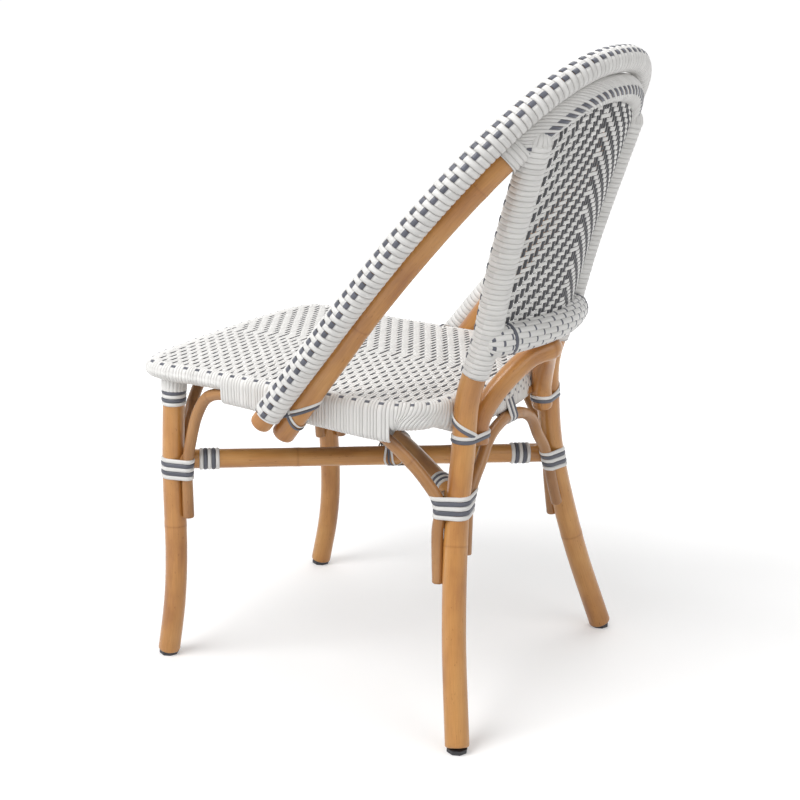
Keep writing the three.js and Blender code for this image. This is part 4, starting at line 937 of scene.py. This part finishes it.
for name, side in SIDES.items():
    end_part = (0.75, 1) if side > 0 else (0, 0.25)
    front_leg, rear_post = Level(legs[side], 2, 0, 1), Level(posts[side], 2, 0, 1)
    lash(f"lashing_front_{name}", LASH["front", side], 6.0, level_section(
        SIDE_WAY, BACK_WAY, (front_leg, LEG_R), (Level(side_arches[side], 2, 0, 0.25), ARCH_R),
        (Level(front_arch, 2, *end_part), ARCH_R)))
    lash(f"lashing_rear_{name}", LASH["rear", side], 6.0, level_section(
        SIDE_WAY, BACK_WAY, (rear_post, POST_R), (Level(side_arches[side], 2, 0.75, 1), ARCH_R),
        (Level(rear_arch, 2, *end_part), ARCH_R)))
    lash(f"leg_band_{name}", RAIL - 36, 5.4, level_section(SIDE_WAY, BACK_WAY, (front_leg, LEG_R)))
    lash(f"post_strap_{name}", RAIL - 39, 5.0, level_section(
        SIDE_WAY, BACK_WAY, (rear_post, POST_R), (Level(brace, 2, *end_part), BRACE_R)),
        looks=[1, 0], high=1.8)
for name, route, place_at in (("front_left", stretcher_low, 50), ("rear_right", stretcher_low, -50),
                              ("rear_left", stretcher_high, 50), ("front_right", stretcher_high, -50)):
    lash(f"end_binding_{name}", place_at % route.length, 5.6, round_section(route, STRETCHER_R, UP))
lash("rear_arch_strap", 0, 5.2, level_section(
    BACK_WAY, UP, (Level(rear_rail, 0, 0, 1), REAR_RAIL_R + 3.5),
    (Level(rear_arch, 0, 0.3, 0.7), ARCH_R)), looks=[1, 0, 1, 0])

# Covers of the front legs' tops, part of the seat's weave
for name, side in SIDES.items():
    cover = Patches()
    low, top = legs[side].find(2, RAIL - 29), legs[side].find(2, RAIL - 6)
    flutes(cover, legs[side], LEG_R + 0.8, 20, 1.6, low, top)
    cover.build(f"leg_top_cover_{name}", ["seat_cover"])

# Slanted strands from each post over the foot of the brace
SLANT_LOOKS, SLANT_STEP = (0, 1), 4.6
for name, side in SIDES.items():
    slanted = Patches()
    turn = np.radians(np.linspace(-80, 128, 40))
    way = np.stack([side * np.cos(turn), np.sin(turn), 0 * turn], -1)
    fall = np.linspace(0, 1, 40)
    post_level = Level(posts[side], 2, 0, 1)
    for k, look in enumerate(SLANT_LOOKS):
        z = RAIL - 6 - 33 * fall - SLANT_STEP * k
        path = post_level.at(z) + (POST_R + 0.8) * way
        along = unit(np.gradient(path, axis=0))
        strands(slanted, path[None], 4.4, 1.6, unit(np.cross(way, along))[None], way[None], look, 60 * k)
    slanted.build(f"post_strap_slant_{name}", [f"post_strap_{name}"])


TIE_WIDTH, TIE_STEP, TIE_THICK = 3.9, 4.3, 1.6


def ties(patches, middle, normal, poles, looks):
    """Closed flat strands side by side, across normal, pulled tight round straight poles.

    Each pole is a point on it, its direction and its radius."""
    across = unit(np.cross(normal, vec(0.3, 0.5, 0.8)))
    rise = np.cross(normal, across)
    turn = np.linspace(0, 2 * np.pi, 97)[:, None]
    way = np.cos(turn) * across + np.sin(turn) * rise
    for k, look in enumerate(looks):
        spot = middle + normal * TIE_STEP * (k - (len(looks) - 1) / 2)
        points, reach = [], []
        for centre, along, radius in poles:
            slope = along @ normal
            centre = centre + along * ((spot - centre) @ normal) / slope
            long_way = along - slope * normal
            long_way = unit(long_way) if np.linalg.norm(long_way) > 1e-6 else across
            short_way = np.cross(normal, long_way)
            far = radius / abs(slope)
            one, two = way @ long_way, way @ short_way
            size = np.sqrt((far * one) ** 2 + (radius * two) ** 2)
            points.append(centre + (far ** 2 * one / size)[:, None] * long_way
                          + (radius ** 2 * two / size)[:, None] * short_way + way * TIE_THICK / 2)
            reach.append((centre - spot) @ way.T + size)
        best = np.argmax(reach, axis=0)
        path = np.take_along_axis(np.stack(points), best[None, :, None], 0)
        strands(patches, path, TIE_WIDTH, TIE_THICK, normal + 0 * path, way[None], look, 45 * k)


# Two loops over the crossing of the stretchers
low_way, high_way = (route.along(route.find(0, 0)) for route in (stretcher_low, stretcher_high))
crossed = Patches()
crossed_poles = [(crossing, low_way, STRETCHER_R), (over, high_way, STRETCHER_R)]
for sum_sign in (1, -1):
    ties(crossed, (crossing + over) / 2, unit(np.cross(unit(low_way + sum_sign * high_way), UP)),
         crossed_poles, (0, 1, 0))
crossed.build("crossing_lashing", ["crossing_lashing"])

# Ties of the inner hoop's ends: one loop round the seat's side too, and one round the hoop alone
TIE_SET = INNER_TIP + 15
for name, side in SIDES.items():
    tie = Patches()
    end_s = inner_hoop.length - TIE_SET if side > 0 else TIE_SET
    spot, hoop_way = inner_hoop.at(end_s), inner_hoop.along(end_s)
    rail_s = seat_loop.find(1, spot[1], *((0.5, 1) if side > 0 else (0, 0.5)))
    seat_pole = (seat_loop.at(rail_s), seat_loop.along(rail_s), SEAT_R + 3.6)
    ties(tie, spot, unit(vec(0, 2, 1)), [(spot, hoop_way, INNER_R), seat_pole], (1, 0))
    ties(tie, spot + vec(0, 6, 10), unit(vec(0.15 * side, -0.35, 1)), [(spot, hoop_way, INNER_R)], (1, 0))
    tie.build(f"hoop_tie_{name}", [f"hoop_tie_{name}"])

# Solids that stay as they are
for name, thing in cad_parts.items():
    if name.startswith("glide") or "_pin" in name:
        for holder in thing.material_slots:
            holder.material = steel if "_pin" in name else plastic

# Camera and light

def way_to(turn, rise):
    """Direction from the object at an azimuth and an elevation."""
    return vec(math.sin(turn) * math.cos(rise), -math.cos(turn) * math.cos(rise), math.sin(rise))


def aim_at(thing, across, above, backward, spot):
    rows = [[across[k], above[k], backward[k], spot[k]] for k in range(3)]
    thing.matrix_world = Matrix(rows + [[0, 0, 0, 1]])


CAMERA_TURN, CAMERA_RISE, CAMERA_ROLL = math.radians(120.13), math.radians(16.89), math.radians(1.23)
CAMERA_FAR, CAMERA_AIM, FOCAL, IMAGE = 2245.45, vec(0, 0.73, 377.89), 1591.21, 800
backward = way_to(CAMERA_TURN, CAMERA_RISE)
sideways = unit(np.cross(-backward, UP))
upward = np.cross(sideways, -backward)
rolled = math.cos(CAMERA_ROLL) * sideways + math.sin(CAMERA_ROLL) * upward
raised = -math.sin(CAMERA_ROLL) * sideways + math.cos(CAMERA_ROLL) * upward
where = (CAMERA_AIM + CAMERA_FAR * backward + SHIFT) * 0.001
lens = bpy.data.cameras.new("camera")
lens.sensor_width = 36
lens.lens = FOCAL / IMAGE * lens.sensor_width
lens.clip_end = 100
camera = stand("camera", lens)
aim_at(camera, rolled, raised, backward, where)
bpy.context.scene.camera = camera


bpy.context.scene.view_settings.view_transform = "Standard"
SKY_LIGHT = 0.4
world = bpy.data.worlds.new("studio")
bpy.context.scene.world = world
tree = Tree(world)
level = tree.add("MapRange", "Result", {"Value": tree.seen_directly(), "To Min": SKY_LIGHT, "To Max": 1.0})
sky = tree.nodes["Background"]
sky.inputs["Color"].default_value = (1, 1, 1, 1)
tree.links.new(level, sky.inputs["Strength"])

LAMP_AIM = 0.45


def lamp(name, turn, rise, far, size, watts):
    """A round lamp at an azimuth, an elevation and a distance in metres."""
    data = bpy.data.lights.new(name, "AREA")
    data.shape = "DISK"
    data.size = size
    data.energy = watts
    way = way_to(turn, rise)
    across = unit(np.cross(UP, way))
    aim_at(stand(name, data), across, np.cross(way, across), way, way * far + vec(0, 0, LAMP_AIM))


lamp("key", CAMERA_TURN - math.radians(55), math.radians(48), 3.2, 2.2, 84)
lamp("fill", CAMERA_TURN + math.radians(50), math.radians(30), 3.4, 2.6, 22)
lamp("top", CAMERA_TURN + math.radians(170), math.radians(65), 3.2, 2.4, 34)

# Floor: matt, with a glow for the camera that grows away from the object, so that its shadow stays
FLOOR, FLOOR_GLOW, NEAR_GLOW = 40.0, 0.72, 0.25
floor_mesh = bpy.data.meshes.new("floor")
floor_mesh.from_pydata([(x * FLOOR, y * FLOOR, 0) for x, y in ((-1, -1), (1, -1), (1, 1), (-1, 1))], [],
                       [(0, 1, 2, 3)])
floor = stand("floor", floor_mesh)
paper = bpy.data.materials.new("floor_paper")
tree = Tree(paper)
tree.nodes.remove(tree.nodes["Principled BSDF"])
far = tree.add("VectorMath", "Value", {0: tree.add("TexCoord", "Object", {})}, operation="LENGTH")
level = tree.add("MapRange", "Result", {"Value": far, "From Min": 0.4, "From Max": 1.9,
                                        "To Min": NEAR_GLOW, "To Max": FLOOR_GLOW},
                 interpolation_type="SMOOTHSTEP")
shown = tree.add("Math", 0, {0: level, 1: tree.seen_directly()}, operation="MULTIPLY")
matt = tree.add("BsdfDiffuse", "BSDF", {"Color": (0.8, 0.8, 0.8, 1)})
glow = tree.add("Emission", "Emission", {"Strength": shown})
both = tree.add("AddShader", "Shader", {0: matt, 1: glow})
tree.links.new(both, tree.nodes["Material Output"].inputs["Surface"])
floor_mesh.materials.append(paper)
